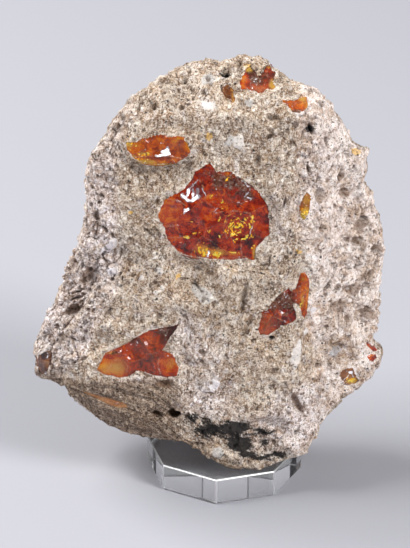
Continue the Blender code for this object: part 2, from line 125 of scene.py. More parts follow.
# The nodules, whose pockets are sunk into the rock: sheet, centre (a, b), bulge, depth, and outline
# about the centre.
NODULES = {
    "opal_centre": ("front", (2.9, 19.5), 1.8, 9.0, (
        (19.0, -0.3), (18.6, 3.7), (15.3, 8.1), (10.2, 12.5), (4.8, 15.2), (0.8, 15.2),
        (-1.2, 18.2), (-6.3, 15.2), (-7.6, 12.5), (-10.6, 8.8), (-17.2, 5.4), (-19.1, 0.0),
        (-17.2, -3.7), (-16.0, -8.0), (-12.0, -12.4), (-7.3, -13.8), (2.8, -14.8),
        (11.6, -14.3), (13.9, -15.5), (14.6, -10.4), (19.0, -6.0))),
    "opal_upper_left": ("front", (-15.8, 41.8), 0.9, 4.5, (
        (-11.2, 2.6), (-7.4, 2.7), (-5.8, 4.2), (-4.4, 3.8), (-1.5, 4.8), (0.8, 5.2), (4.0, 4.2),
        (6.6, 4.6), (8.8, 4.2), (10.7, 0.8), (10.9, -0.6), (9.5, -2.4), (5.9, -4.4), (0.0, -5.0),
        (-3.4, -4.8), (-6.3, -4.0), (-9.1, -2.1), (-10.6, 0.2))),
    "opal_top": ("front", (18.0, 64.7), 0.6, 3.0, (
        (-6.7, 0.1), (-5.1, 2.7), (-4.7, 4.1), (-3.0, 5.4), (-1.7, 4.3), (-1.4, 3.0), (0.0, 1.8),
        (1.2, 2.5), (2.9, 5.6), (4.1, 5.7), (5.0, 4.1), (6.1, 3.3), (5.8, 1.3), (4.8, 0.6),
        (6.3, -2.0), (5.0, -3.1), (3.1, -2.4), (2.0, -4.0), (0.0, -4.4), (-1.9, -3.5),
        (-4.0, -2.2), (-5.6, -2.5), (-6.5, -1.3))),
    "opal_shard": ("front", (7.9, 60.9), 0.4, 2.0, (
        (-1.9, 1.8), (-0.3, 2.6), (0.9, 1.6), (1.8, 0.2), (2.5, -2.1), (1.7, -3.9), (1.0, -2.9),
        (0.2, -1.8), (-0.9, -0.9), (-1.9, 0.3))),
    "opal_upper_right": ("front", (30.9, 56.6), 0.5, 2.2, (
        (-5.1, 2.0), (-1.7, 1.7), (0.4, 2.2), (1.5, 3.1), (3.1, 3.0), (3.2, 0.9), (3.7, -0.5),
        (2.6, -1.6), (1.1, -2.3), (-1.3, -2.0), (-2.4, -0.8), (-3.5, 0.4))),
    "opal_yellow": ("front", (33.7, 22.9), 0.5, 2.4, (
        (0.9, 4.6), (-0.6, 3.4), (-1.6, 1.0), (-1.9, -1.5), (-1.3, -4.0), (-0.4, -4.7),
        (0.8, -3.2), (1.6, -0.8), (2.0, 1.6), (1.8, 3.9))),
    "opal_blade": ("front", (33.2, -7.3), 0.8, 2.6, (
        (0.3, 8.4), (-0.8, 7.8), (-1.7, 6.0), (-2.6, 3.5), (-4.0, 1.8), (-3.6, -2.2), (-1.6, -3.4),
        (-1.0, -4.8), (-0.5, -6.9), (0.3, -7.5), (1.0, -6.6), (1.3, -3.8), (1.7, 0.1), (2.0, 4.6),
        (1.2, 6.4))),
    "opal_right_lens": ("front", (24.8, -14.2), 0.8, 4.0, (
        (-5.7, 1.4), (-4.1, 2.3), (-2.7, 4.3), (-0.8, 6.4), (1.7, 8.6), (3.6, 9.8), (4.9, 8.4),
        (5.2, 5.8), (5.4, 3.4), (6.2, 1.5), (6.1, -0.9), (4.5, -2.4), (1.1, -3.4), (-1.1, -4.7),
        (-3.5, -6.5), (-6.6, -6.5), (-7.2, -4.9), (-6.6, -2.1), (-5.8, -0.3))),
    "opal_lower_left": ("front", (-20.3, -28.0), 1.2, 6.0, (
        (11.6, 11.3), (10.7, 9.5), (9.0, 7.6), (6.7, 3.6), (5.7, 2.2), (7.5, 1.6), (9.6, 1.0),
        (10.7, -1.3), (11.6, -3.8), (10.9, -6.4), (7.9, -6.8), (2.5, -5.8), (-0.2, -5.3),
        (-2.9, -4.9), (-4.3, -5.7), (-6.5, -6.7), (-8.5, -7.0), (-13.4, -5.9), (-16.1, -4.3),
        (-15.1, -2.2), (-13.4, 1.4), (-9.2, 3.1), (-6.5, 4.5), (-4.3, 6.0), (-1.9, 7.1),
        (-0.2, 8.5), (2.5, 9.5), (7.9, 10.3))),
    "opal_far_left": ("front", (-54.0, -29.8), 0.6, 2.4, (
        (1.8, 4.2), (0.2, 4.0), (-1.4, 3.2), (-2.4, 1.6), (-2.8, -0.4), (-2.4, -2.7),
        (-1.3, -4.2), (0.2, -4.2), (1.3, -3.0), (1.7, -1.0), (2.4, 1.5), (2.6, 3.2))),
    "opal_right_sliver": ("front", (56.0, -24.6), 0.4, 1.6, (
        (-1.9, 1.5), (-0.9, 1.4), (1.9, -0.9), (1.8, -1.5), (0.4, -1.1), (-1.2, 0.3))),
    "opal_right_bead": ("front", (56.2, -28.2), 0.4, 1.6, (
        (-1.6, 0.5), (-0.4, 1.2), (1.2, 1.0), (1.6, 0.0), (0.4, -1.2), (-0.5, -1.1))),
    "opal_lower_right": ("front", (48.4, -34.5), 0.6, 2.4, (
        (-3.2, 1.5), (-0.8, 2.8), (1.4, 2.7), (2.6, 0.6), (3.2, -1.5), (1.9, -2.7),
        (-1.2, -2.3), (-2.8, -0.9))),
    "opal_seam": ("front", (-32.8, -42.6), 0.3, 1.8, (
        (-9.3, 3.5), (-4.6, 2.2), (-0.5, 1.1), (4.6, -0.3), (7.0, -1.4), (7.2, -2.4),
        (4.6, -2.8), (1.0, -1.7), (-3.1, 0.4), (-7.2, 2.2))),
    "opal_back_upper": ("back", (-8.0, 30.0), 1.0, 4.5, (
        (8.4, 0.8), (6.0, 4.2), (1.0, 5.6), (-4.6, 4.4), (-8.0, 1.2), (-7.2, -2.8),
        (-3.0, -4.2), (2.4, -3.4), (6.8, -3.0))),
    "opal_back_lower": ("back", (24.0, -6.0), 0.8, 3.6, (
        (5.8, 1.4), (3.2, 4.6), (-1.2, 4.0), (-5.4, 2.6), (-6.6, -1.0), (-3.0, -3.8),
        (2.0, -3.0), (5.2, -2.2))),
    "opal_back_left": ("back", (-36.0, 6.0), 0.6, 3.0, (
        (3.6, 0.6), (1.8, 4.4), (-1.2, 5.2), (-2.8, 1.4), (-3.2, -3.0), (-0.6, -5.0),
        (2.2, -3.4))),
}


def place(a, b, t):
    """World points of (a, b, t): the middle, plus a and b spread by the depth, plus t along the depth."""
    wider = 1.0 + t / SPREAD
    across = np.stack((a * wider, b * wider * math.sin(LEAN), b * wider * math.cos(LEAN)), -1)
    depth = np.stack((0 * t, t * math.cos(LEAN), -t * math.sin(LEAN)), -1)
    return MIDDLE + across + depth


def turned(x, y, degrees):
    """x and y measured along a direction and across it: x cos + y sin, and y cos - x sin."""
    turn = math.radians(degrees)
    return x * math.cos(turn) + y * math.sin(turn), y * math.cos(turn) - x * math.sin(turn)


def reach(points, centre, angle):
    """Distance from the centre to a closed outline in the given directions, straight between its points."""
    x, y = (np.array(points, float) - np.array(centre)).T
    at = np.arctan2(y, x)
    order = np.argsort(at)
    return np.interp(angle, at[order], np.hypot(x, y)[order], period=2 * math.pi)


def side_reach(points, angle):
    """Distance from the middle to a closed outline's straight sides: (p x q) / (u x (q - p)) for the
    side from p to q that the direction u crosses."""
    points = np.array(points, float)
    points = points[np.argsort(np.arctan2(points[:, 1], points[:, 0]))]
    at = np.arctan2(points[:, 1], points[:, 0])
    first = (np.searchsorted(at, (angle + math.pi) % (2 * math.pi) - math.pi, "right") - 1) % len(at)
    p, q = points[first], points[(first + 1) % len(at)]
    side = q - p
    crossed = np.cos(angle) * side[..., 1] - np.sin(angle) * side[..., 0]
    return (p[..., 0] * q[..., 1] - p[..., 1] * q[..., 0]) / crossed


def folded(a, b, plane, folds, hollows):
    """Depth of a plane, plus each fold's slope times the rounded distance past its line, plus the
    bell-shaped hollows. A back sheet counts both the other way."""
    away = 1.0 if plane is FRONT_PLANE else -1.0
    t = plane[0] + plane[1] * b
    for a0, b0, facing, slope, rounded in folds:
        past, _ = turned(a - a0, b - b0, facing)
        t = t + away * slope * 0.5 * (past + np.sqrt(past * past + rounded * rounded))
    for a0, b0, wide, high, deep in hollows:
        t = t + away * deep * np.exp(-(((a - a0) / wide) ** 2) - ((b - b0) / high) ** 2)
    return t


def sheet(a, b, side):
    """Depth of the front or back surface: the folded plane, brought to the rim's depth by
    sqrt(1 - q^2), where q runs from 0 at CAP of the way out to 1 on the outline."""
    angle = np.arctan2(b - HEART[1], a - HEART[0])
    edge = reach(OUTLINE, HEART, angle)
    out = np.hypot(a - HEART[0], b - HEART[1]) / edge
    rim_a = HEART[0] + edge * np.cos(angle)
    rim_b = HEART[1] + edge * np.sin(angle)
    rim = folded(rim_a, rim_b, FRONT_PLANE, FRONT_FOLDS, FRONT_HOLLOWS)
    rim = rim + RIM_BEHIND + RIM_DROP * 0.5 * (1.0 + np.sin(angle))
    turn = np.sqrt(1.0 - np.clip((out - CAP) / (1.0 - CAP), 0.0, 1.0) ** 2)
    if side == "front":
        flat = folded(a, b, FRONT_PLANE, FRONT_FOLDS, FRONT_HOLLOWS)
    else:
        flat = np.maximum(folded(a, b, BACK_PLANE, BACK_FOLDS, BACK_HOLLOWS), rim + BACK_BEHIND)
    return rim + (flat - rim) * turn


def hashed(cell, seed):
    """A fixed number from 0 to 1 for each lattice cell: its three indices mixed by multiplying and
    folding bits. The seed picks one of many such sets."""
    key = cell @ np.array((73856093, 19349663, 83492791)) + seed * 7919
    key = ((key ^ (key >> 15)) * 2246822519) & 0xFFFFFFFF
    key = ((key ^ (key >> 13)) * 3266489917) & 0xFFFFFFFF
    return ((key ^ (key >> 16)) & 0xFFFF) / 65535.0


def noise(points, size, seed):
    """Smooth noise from -1 to 1: the cells' numbers blended by 3x^2 - 2x^3 along each axis."""
    cell = np.floor(points / size).astype(np.int64)
    part = points / size - cell
    blend = part * part * (3.0 - 2.0 * part)
    total = np.zeros(len(points))
    for corner in itertools.product((0, 1), repeat=3):
        weight = np.prod(np.where(corner, blend, 1.0 - blend), axis=1)
        total += (2.0 * hashed(cell + corner, seed) - 1.0) * weight
    return total


def nearest_seed(points, size, seed):
    """Of the seeds strewn one to a cell: the distance in mm to the nearest, how much further the
    second one is, and the nearest one's own number."""
    cell = np.floor(points / size).astype(np.int64)
    first, second = np.full(len(points), 1e9), np.full(len(points), 1e9)
    number = np.zeros(len(points))
    for step in itertools.product((-1, 0, 1), repeat=3):
        near = cell + step
        spot = (near + np.stack([hashed(near, seed + k) for k in range(3)], -1)) * size
        apart = np.linalg.norm(points - spot, axis=1)
        number = np.where(apart < first, hashed(near, seed + 3), number)
        second = np.minimum(second, np.maximum(apart, first))
        first = np.minimum(first, apart)
    return first, second - first, number


def warped(points, size, amount, seed):
    """The points moved by three noises, so that what is measured from them loses its round shape."""
    return points + amount * np.stack([noise(points, size, seed + k) for k in range(3)], -1)


def soft_step(values):
    """0 below 0, 1 above 1, and 3x^2 - 2x^3 between."""
    x = np.clip(values, 0.0, 1.0)
    return x * x * (3.0 - 2.0 * x)


def above(values, level):
    """0 up to a level, then rising to 1."""
    return np.clip((values - level) / (1.0 - level), 0.0, 1.0)


def dome(gap, radius):
    """sqrt(1 - (gap / radius)^2), and 0 outside the radius."""
    return np.sqrt(np.clip(1.0 - (gap / np.maximum(radius, 1e-6)) ** 2, 0.0, 1.0))


def broken_form(points, inner):
    """Swells inside the rim, less the chips knocked out, plus knobs left standing and crumbs."""
    swells = sum(high * noise(points, size, seed) for seed, (size, high) in enumerate(SWELLS))
    chips = CHIPS[1] * above(noise(points, CHIPS[0], 5), 0.2)
    knobs = KNOBS[1] * above(noise(points, KNOBS[0], 6), 0.3)
    broken = (knobs - chips) * (RIM_SHARE + (1.0 - RIM_SHARE) * inner)
    return swells * inner + broken + CRUMBS[1] * noise(points, CRUMBS[0], 7)


# The edges between the broken face and its neighbours, as (a, b) points.
LEFT_EDGE = ((-48.8, -35.0), (-40.4, -27.3), (-35.4, -18.9), (-29.3, -5.4), (-27.3, 4.0),
             (-31.3, 14.8), (-32.7, 30.0), (-29.3, 41.8), (-23.6, 54.6))
RIGHT_EDGE = ((39.4, -49.2), (38.1, -37.4), (36.0, -22.2), (34.0, -5.4), (32.0, 14.8),
              (29.3, 31.7), (30.6, 45.1), (32.0, 58.6))
FOOT_EDGE = ((-51.9, -32.7), (-40.4, -36.4), (-32.7, -35.7), (-25.9, -35.4), (-9.1, -35.7),
             (-6.4, -44.8), (-3.7, -48.2), (10.1, -48.2), (18.5, -50.5), (26.9, -56.9),
             (31.0, -61.0))
SEAM_EDGE = ((-46.1, -37.4), (-37.7, -41.4), (-25.9, -44.8), (-17.9, -46.8), (-9.4, -53.6),
             (-4.0, -56.9), (4.4, -63.3), (17.8, -66.7), (30.0, -64.0))
# Small hollows that stand alone: a, b, half length, half width, turn in degrees, depth, and how dark the
# painted shade in each is.
HOLES = (
    (6.9, 68.0, 1.3, 1.1, 0, 2.6, 1.0),
    (-7.4, 66.7, 1.0, 0.8, 0, 1.6, 0.9),
    (36.4, 48.5, 2.2, 0.9, -60, 2.0, 1.0),
    (23.1, 53.1, 2.6, 0.9, -15, 1.4, 0.8),
    (53.0, 16.7, 2.6, 1.7, 70, 1.6, 0.35),
    (51.0, 11.0, 1.8, 1.3, 20, 1.4, 0.6),
    (57.6, 8.6, 1.8, 1.0, 60, 1.6, 0.8),
    (55.5, 0.4, 1.2, 0.8, 30, 1.2, 0.8),
    (52.5, -13.8, 2.8, 1.8, 80, 1.4, 0.25),
    (41.3, -3.4, 2.6, 0.6, 65, 1.4, 1.0),
    (31.3, -44.8, 3.4, 1.3, -60, 1.6, 0.25),
    (-43.1, -5.7, 2.6, 0.5, 18, 1.4, 0.9),
    (-43.4, -8.1, 2.8, 0.6, 22, 1.4, 0.9),
    (-44.3, -12.3, 2.9, 1.4, 25, 2.0, 0.55),
    (-37.6, -0.6, 3.6, 1.7, 70, 1.3, 0.45),
    (-38.6, 1.6, 1.2, 0.9, 20, 1.6, 0.8),
    (-36.9, 19.6, 1.6, 1.1, 60, 1.6, 0.7),
    (-47.6, -21.5, 2.2, 1.2, 50, 1.4, 0.7),
    (-16.2, -47.2, 1.9, 1.1, -10, 2.6, 1.0),
    (-10.2, -46.9, 1.9, 1.2, 0, 2.8, 1.0),
    (12.8, -8.2, 5.4, 1.0, 80, 1.0, 0.7),
    (22.4, -21.6, 1.0, 0.8, 0, 1.2, 1.0),
    (-3.0, -4.6, 2.0, 0.4, -25, 0.9, 1.0),
    (-19.0, 14.0, 2.4, 0.5, -35, 0.8, 0.8),
    (46.2, 33.0, 2.4, 0.9, 75, 1.4, 0.6),
    (45.5, -25.0, 1.6, 1.0, 20, 1.4, 0.6),
    (-13.5, -36.8, 3.0, 1.1, -10, 1.2, 0.4),
    (17.5, 38.0, 1.8, 0.9, 70, 1.2, 0.6),
    (48.5, -5.0, 1.8, 1.2, 40, 1.4, 0.5),
    (22.0, 46.0, 1.6, 0.6, 40, 1.0, 0.9),
    (-22.0, 62.0, 1.2, 0.9, 0, 1.4, 0.8),
    (26.5, 24.0, 2.6, 0.5, 80, 1.0, 0.8),
)
# Tones of the face: a, b, half width, half height, paler (+) or browner (-), warmer (+) or greyer (-).
TONES = (
    (21.9, 41.8, 10.0, 15.0, -0.45, 0.0), (-8.4, 55.9, 17.0, 3.5, -0.35, 0.2),
    (0.0, 57.9, 3.2, 2.6, 0.6, -0.8), (5.0, 53.5, 2.7, 2.7, -0.5, 0.0),
    (31.3, 55.9, 2.7, 2.7, -0.5, 0.2), (40.4, 45.1, 5.0, 8.0, 0.3, -0.6),
    (40.4, 19.9, 8.0, 17.0, 0.4, -0.5),
    (25.3, 19.9, 3.5, 13.0, 0.1, -0.8), (-5.0, 0.0, 20.0, 7.0, 0.0, 0.6),
    (-33.7, 19.9, 4.5, 13.0, 0.25, -0.6), (-33.7, 3.0, 4.0, 4.0, 0.3, -0.7),
    (-48.8, -20.5, 4.0, 3.0, -0.4, 0.0), (0.0, -25.6, 12.0, 10.0, 0.35, -0.7),
    (0.0, -42.4, 10.0, 7.0, 0.25, -0.9), (20.2, -22.2, 6.0, 8.4, 0.0, 0.9),
    (31.0, -23.9, 3.4, 6.0, 0.7, -0.5), (45.5, -23.9, 4.7, 4.0, -0.5, 0.3),
    (35.4, -42.4, 4.5, 8.0, 0.9, -1.0), (32.0, -54.2, 3.2, 5.0, 0.9, -1.0),
    (7.7, -37.4, 3.4, 2.2, -0.5, -0.3), (-1.7, -37.4, 3.0, 3.0, -0.3, 0.0),
    (16.8, -42.4, 5.0, 4.0, 0.0, 0.6), (-23.6, 24.9, 4.0, 8.4, -0.15, 0.6),
    (-14.1, 26.6, 3.0, 3.0, -0.5, 0.0), (-3.0, -53.2, 4.0, 4.0, 0.5, 0.8),
    (3.4, -59.5, 7.0, 3.6, 0.5, 0.9), (14.5, -63.5, 8.0, 2.4, 0.5, 0.9),
    (52.0, 0.0, 5.0, 30.0, 0.1, 0.2), (-4.0, 44.0, 26.0, 12.0, -0.55, -0.2),
    (14.0, 64.0, 20.0, 6.0, -0.3, 0.0), (24.0, -52.0, 15.0, 10.0, 0.6, -0.7),
    (-48.0, -16.0, 9.0, 16.0, 0.35, -0.5), (46.0, -28.0, 9.0, 10.0, -0.35, 0.2),
    (-34.0, 22.0, 6.0, 18.0, 0.3, -0.5), (-6.0, 55.0, 15.0, 7.0, -0.45, 0.2),
    (3.0, 66.0, 9.0, 3.0, -0.35, 0.1), (45.0, -26.0, 9.0, 7.0, -0.5, 0.2),
    (28.0, -46.0, 7.0, 9.0, 0.7, -0.4), (-38.0, 2.0, 7.0, 16.0, 0.5, -0.2),
    (-22.0, -35.6, 9.0, 1.6, 0.9, -0.6), (-6.0, -17.0, 3.5, 6.0, 0.6, -0.6),
    (20.0, -29.0, 3.0, 5.0, 0.9, -0.8), (16.0, -14.0, 14.0, 12.0, -0.1, 0.45),
    (30.0, -34.0, 8.0, 6.0, 0.0, 0.35), (4.0, 10.0, 14.0, 5.0, 0.0, 0.3),
)
# The sooty stain on the foot, whose last four rows are painted shade blackening pits listed in HOLES: a, b,
# half width, half height, strength.
SOOT_AND_PIT_SHADE = (
    (-4.4, -48.5, 3.0, 1.6, 1.1), (0.5, -52.8, 4.5, 2.6, 1.3), (9.1, -51.3, 7.0, 2.2, 1.3),
    (10.1, -56.1, 4.0, 3.4, 1.3), (13.0, -58.0, 3.0, 2.0, 1.1), (19.7, -54.2, 4.0, 1.1, 1.2),
    (20.2, -57.4, 1.8, 1.2, 1.4), (19.2, -61.9, 4.0, 1.3, 1.3), (25.0, -61.2, 2.6, 1.0, 1.3),
    (14.0, -61.0, 2.0, 1.0, 1.0), (6.9, 68.0, 1.4, 1.2, 2.2), (36.0, 48.4, 1.8, 1.1, 1.6),
    (22.4, -21.6, 0.9, 0.8, 1.4), (-10.5, -46.9, 1.2, 0.9, 1.0),
)
# Clasts by kind: a, b, half length, half width, turn in degrees. CLAST_STANDS is how far each kind
# stands out of the rock, or lies sunk in it.
CLAST_STANDS = {"white_clast": 0.3, "steel_clast": 0.2, "brown_clast": -0.2}
CLASTS = {
    "white_clast": (
        (11.4, 44.3, 2.2, 2.4, 8), (1.3, 57.4, 2.4, 1.6, -10), (3.2, -37.4, 2.4, 1.5, 70),
        (-31.0, 1.3, 1.8, 1.4, 0), (37.3, -12.7, 1.2, 1.0, 0), (-21.2, 31.7, 0.9, 0.7, 0),
        (-15.5, 1.3, 1.4, 1.0, 20), (-16.5, -5.7, 1.2, 0.8, -30), (-21.6, -1.0, 1.0, 0.8, 0),
        (35.0, -20.2, 1.1, 0.9, 40), (31.0, -27.0, 5.2, 1.5, 75), (-11.6, 26.0, 1.0, 0.5, 30),
        (-32.6, 8.8, 3.6, 1.4, 40), (-14.1, -4.7, 0.9, 0.7, 20), (-16.8, 5.7, 0.9, 0.7, 0)),
    "steel_clast": (
        (-1.0, -6.6, 4.0, 2.0, -28), (4.7, -60.0, 1.8, 1.6, 0), (8.1, 44.5, 2.0, 1.5, 60),
        (0.8, 66.0, 2.4, 1.5, 15), (44.5, -26.5, 2.0, 1.2, 30), (14.8, 57.6, 1.6, 1.2, 0)),
    "brown_clast": (
        (-13.9, -36.9, 2.7, 1.2, -8), (31.3, -44.1, 2.8, 1.0, -62), (-15.9, -47.2, 1.3, 0.9, 0),
        (-10.8, -47.0, 1.5, 1.2, 0), (52.8, 15.8, 2.5, 1.6, 62), (45.3, -11.3, 2.7, 2.1, 60),
        (54.6, -13.1, 2.0, 1.6, 80), (50.9, -5.2, 2.6, 1.6, 70), (57.9, 8.8, 1.2, 0.8, 60),
        (51.4, 11.6, 1.2, 1.0, 50), (-44.5, -12.1, 3.4, 1.2, 28), (-39.8, -0.5, 3.6, 1.6, 60),
        (-37.0, 14.0, 1.1, 0.9, 0), (46.5, 32.0, 2.4, 0.9, 75), (15.3, -15.0, 0.9, 0.9, 0)),
    "ochre_clast": (
        (-9.1, -1.7, 1.2, 1.0, 0), (-24.9, 20.5, 0.8, 0.7, 0), (1.3, 45.8, 1.3, 1.1, 60),
        (14.4, 69.8, 1.0, 0.7, 0), (51.4, 41.1, 1.4, 1.0, 30), (31.3, 8.4, 0.9, 0.7, 0)),
}
# Hairline cracks, and smooth pale veins left standing, as runs of points.
CRACK_HALF = 0.36  # half width, for each kind of line
CRACK_DEPTH = 0.4
VEIN_HALF = 1.2
VEIN_HEIGHT = 0.5
CRACKS = (
    ((15.5, 3.2), (19.0, 2.9), (21.2, 3.6), (22.0, 6.2)),
    ((-34.2, 5.6), (-32.4, 3.9), (-30.0, 4.0), (-28.6, 6.6), (-28.9, 9.2)),
    ((-3.6, -3.4), (-2.0, -5.4), (0.4, -6.2)), ((-26.5, 36.0), (-22.0, 33.0), (-17.4, 33.6)),
    ((-50.0, -22.5), (-45.0, -15.6), (-41.6, -9.0)), ((27.4, 9.0), (28.2, 4.0), (27.6, 0.0)),
    ((-8.0, -40.4), (-2.0, -40.0), (5.5, -41.2)), ((-20.6, 17.5), (-17.6, 14.8), (-16.6, 12.0)),
)
VEINS = (
    ((-36.7, -4.4), (-40.0, -11.0), (-44.5, -17.5), (-48.8, -23.9)),
    ((-34.5, -27.0), (-29.2, -23.6), (-24.4, -19.9), (-20.6, -17.6), (-13.0, -16.9)),
    ((-38.5, 7.5), (-34.0, 9.6), (-31.4, 8.6)), ((26.2, 16.0), (25.4, 22.0), (24.0, 28.0)),
)
# Borders between the broken face and the weathered zones: how they waver, as size and amount, the
# height where the top begins, and how far right the foot and the rock under the seam run.
WAVERS = ((7.0, 2.6), (2.5, 1.2))
TOP_BEGINS = 53.0
FOOT_ENDS = 32.0
SEAM_ENDS = 20.0
# Grain: size, height on the broken face, height on the weathered sides.
GRAIN = ((5.2, 0.30, 0.85), (2.6, 0.26, 0.55), (1.4, 0.16, 0.34), (0.8, 0.10, 0.20))
# Chunks left standing, and small and wide pits where clasts fell out, one to a cell, as cell size,
# height on the broken face and what the weathered sides add. Grooves between chunks start with
# their width instead.
CHUNKS = (3.3, 0.15, 0.55)
GROOVES = (0.5, 0.15, 0.45)
PITS = (2.3, 0.5, 0.4)
WIDE_PITS = (8.0, 0.8, 0.7)
LEDGES = ((2.6, 0.5), (1.1, 0.25))  # steps of the bedding: how far apart, and how high


def edge_line(edge, at, across):
    """The edge's height over a position along it: straight between its points, taken in order."""
    line = np.array(sorted((point[across], point[1 - across]) for point in edge))
    return np.interp(at, line[:, 0], line[:, 1])


def zones_of(points, a, b, on_front):
    """Which weathered side each point is on, 0 to 1, with wavering borders: left, right, top, foot (the
    bevel under the face) and under (below the seam)."""
    waver = sum(amount * noise(points, size, 11 + k) for k, (size, amount) in enumerate(WAVERS))
    return {
        "left": on_front * soft_step((edge_line(LEFT_EDGE, b, 1) - a + waver) / 4.0 + 0.5),
        "right": on_front * soft_step((a - edge_line(RIGHT_EDGE, b, 1) + waver) / 5.0 + 0.5),
        "top": on_front * soft_step((b - TOP_BEGINS + waver) / 6.0),
        "foot": on_front * soft_step((edge_line(FOOT_EDGE, a, 0) - b + 0.5 * waver) / 2.0 + 0.5)
        * (a < FOOT_ENDS),
        "under": on_front * soft_step((edge_line(SEAM_EDGE, a, 0) - b + 0.2 * waver) / 1.2 + 0.5)
        * (a < SEAM_ENDS),
    }


def blobs(x, y, rows, amount=4):
    """Sum of bell shapes: the row's amount times exp(-q^2), q in each one's own half sizes."""
    total = np.zeros_like(x)
    for row in rows:
        total += row[amount] * np.exp(-(((x - row[0]) / row[2]) ** 2) - ((y - row[1]) / row[3]) ** 2)
    return total


def clast_marks(points, a, b, on_front):
    """For each kind, 1 - q: 1 at the middle of its clasts and 0 on their edges, where
    q^3 = (x / long)^3 + (y / wide)^3 and noises make x and y uneven."""
    shift = warped(points, 1.5, 0.8, 64) - points
    marks = {}
    for kind, rows in CLASTS.items():
        marks[kind] = np.full_like(a, -1.0)
        for a0, b0, long, wide, turn in rows:
            x, y = turned(a - a0 + shift[:, 0], b - b0 + shift[:, 2], turn)
            q = (np.abs(x / long) ** 3 + np.abs(y / wide) ** 3) ** (1 / 3)
            marks[kind] = np.maximum(marks[kind], np.where(on_front > 0.5, 1.0 - q, -1.0))
    return marks


def near_lines(x, y, runs):
    """Distance in mm to the nearest of some runs of straight pieces."""
    gap = np.full_like(x, 99.0)
    for run in runs:
        for (x0, y0), (x1, y1) in zip(run, run[1:]):
            along = ((x - x0) * (x1 - x0) + (y - y0) * (y1 - y0)) / ((x1 - x0) ** 2 + (y1 - y0) ** 2)
            along = np.clip(along, 0.0, 1.0)
            gap = np.minimum(gap, np.hypot(x - x0 - along * (x1 - x0), y - y0 - along * (y1 - y0)))
    return gap


def hole_depths(points, a, b, on_front):
    """Depth and painted shade of the small hollows, each exp(-q^4), q being the distance in its own half
    length and half width, and of the cracks, which a noise breaks up."""
    depth, hole_shade = np.zeros_like(a), np.zeros_like(a)
    shift = 0.5 * noise(points, 1.6, 15)
    for a0, b0, long, wide, turn, deep, shade in HOLES:
        x, y = turned(a - a0, b - b0, turn)
        share = np.exp(-(((x / long) ** 2 + ((y + shift) / wide) ** 2) ** 2)) * on_front
        depth = np.maximum(depth, deep * share)
        hole_shade = np.maximum(hole_shade, shade * share)
    gap = near_lines(a + shift, b + shift, CRACKS)
    crack = np.clip(1.25 - gap / CRACK_HALF, 0.0, 1.0) * on_front
    crack = crack * soft_step(0.7 + 1.6 * noise(points, 1.1, 18))
    return np.maximum(depth, CRACK_DEPTH * crack), np.maximum(hole_shade, crack)


def surface_grain(points, a, b, on_front, zones):
    """Height of the grain: noises, stronger on the weathered sides, domed chunks and the grooves
    between them, ledges of the bedding under the seam, less the pits where clasts fell out and the
    small hollows. Returns the height, and how much shade is painted into each pit, groove, hollow
    and crack."""
    rough = np.maximum.reduce([zones[key] for key in ("left", "right", "top", "foot")])
    rough = np.maximum(rough, 1.0 - on_front)
    height = sum((low + (high - low) * rough) * noise(points, size, 20 + k)
                 for k, (size, low, high) in enumerate(GRAIN))
    bedded = np.maximum(zones["under"], zones["foot"] * soft_step((-4.0 - a) / 5.0))
    height *= 1.0 - 0.75 * bedded
    bent = warped(points, 2.0, 0.9, 61)
    gap, border, number = nearest_seed(bent, CHUNKS[0], 31)
    height += (CHUNKS[1] + CHUNKS[2] * rough) * dome(gap, 1.9 * above(number, 0.3))
    groove = np.clip(1.0 - border / GROOVES[0], 0.0, 1.0)
    groove = groove * (noise(points, 6.0, 17) > 0.1) * (1.0 - bedded)
    height -= (GROOVES[1] + GROOVES[2] * rough) * groove
    gap, _, number = nearest_seed(bent, PITS[0], 41)
    pitted = np.maximum.reduce([zones["left"], 0.6 * zones["top"], 0.35 * zones["right"], 1.0 - on_front])
    level = 0.95 - 0.27 * pitted
    pit = np.sqrt(dome(gap, 0.45 + 0.7 * above(number, 0.6))) * (number > level)
    gap, _, number = nearest_seed(bent, WIDE_PITS[0], 51)
    level = 0.96 - 0.12 * np.maximum(zones["left"], 1.0 - on_front)
    wide_pit = np.sqrt(dome(gap, 1.0 + 1.6 * above(number, 0.72))) * (number > level)
    steps = edge_line(SEAM_EDGE, a, 0) - b + 0.3 * noise(points, 5.0, 16)
    ledge = sum(high * (steps / apart % 1.0) for apart, high in LEDGES) * bedded
    hole, hole_shade = hole_depths(points, a, b, on_front)
    pit, wide_pit = pit * (1.0 - 0.8 * bedded), wide_pit * (1.0 - 0.8 * bedded)
    height += ledge - (PITS[1] + PITS[2] * rough) * pit
    height -= (WIDE_PITS[1] + WIDE_PITS[2] * rough) * wide_pit + hole
    return height, np.maximum.reduce([0.8 * pit, 0.6 * wide_pit, 0.5 * groove * rough, hole_shade])


def square_to_disc(count):
    """Radius and angle of a square grid's points: each square ring becomes a circle."""
    step = np.linspace(-1.0, 1.0, count + 1)
    x, y = np.meshgrid(step, step, indexing="ij")
    wide = np.abs(x) > np.abs(y)
    along = np.where(wide, x, y)
    other = np.where(wide, y, x) / np.where(along == 0.0, 1.0, along) * math.pi / 4
    angle = np.where(wide, other, math.pi / 2 - other) + np.where(along < 0.0, math.pi, 0.0)
    return np.abs(along), angle


def sheet_points(side, count):
    """a, b and part of the way out of a sheet's grid, its squares shared by the cap and the turned edge."""
    radius, angle = square_to_disc(count)
    share = CAP_SQUARES[side]
    bend = np.clip((radius - share) / (1.0 - share), 0.0, 1.0) * math.pi / 2
    out = np.where(radius < share, CAP * radius / share, CAP + (1.0 - CAP) * np.sin(bend))
    edge = reach(OUTLINE, HEART, angle)
    return HEART[0] + edge * out * np.cos(angle), HEART[1] + edge * out * np.sin(angle), out


def grid_faces(numbers):
    """The squares of a grid of point numbers."""
    corners = (numbers[:-1, :-1], numbers[1:, :-1], numbers[1:, 1:], numbers[:-1, 1:])
    return np.stack(corners, -1).reshape(-1, 4)


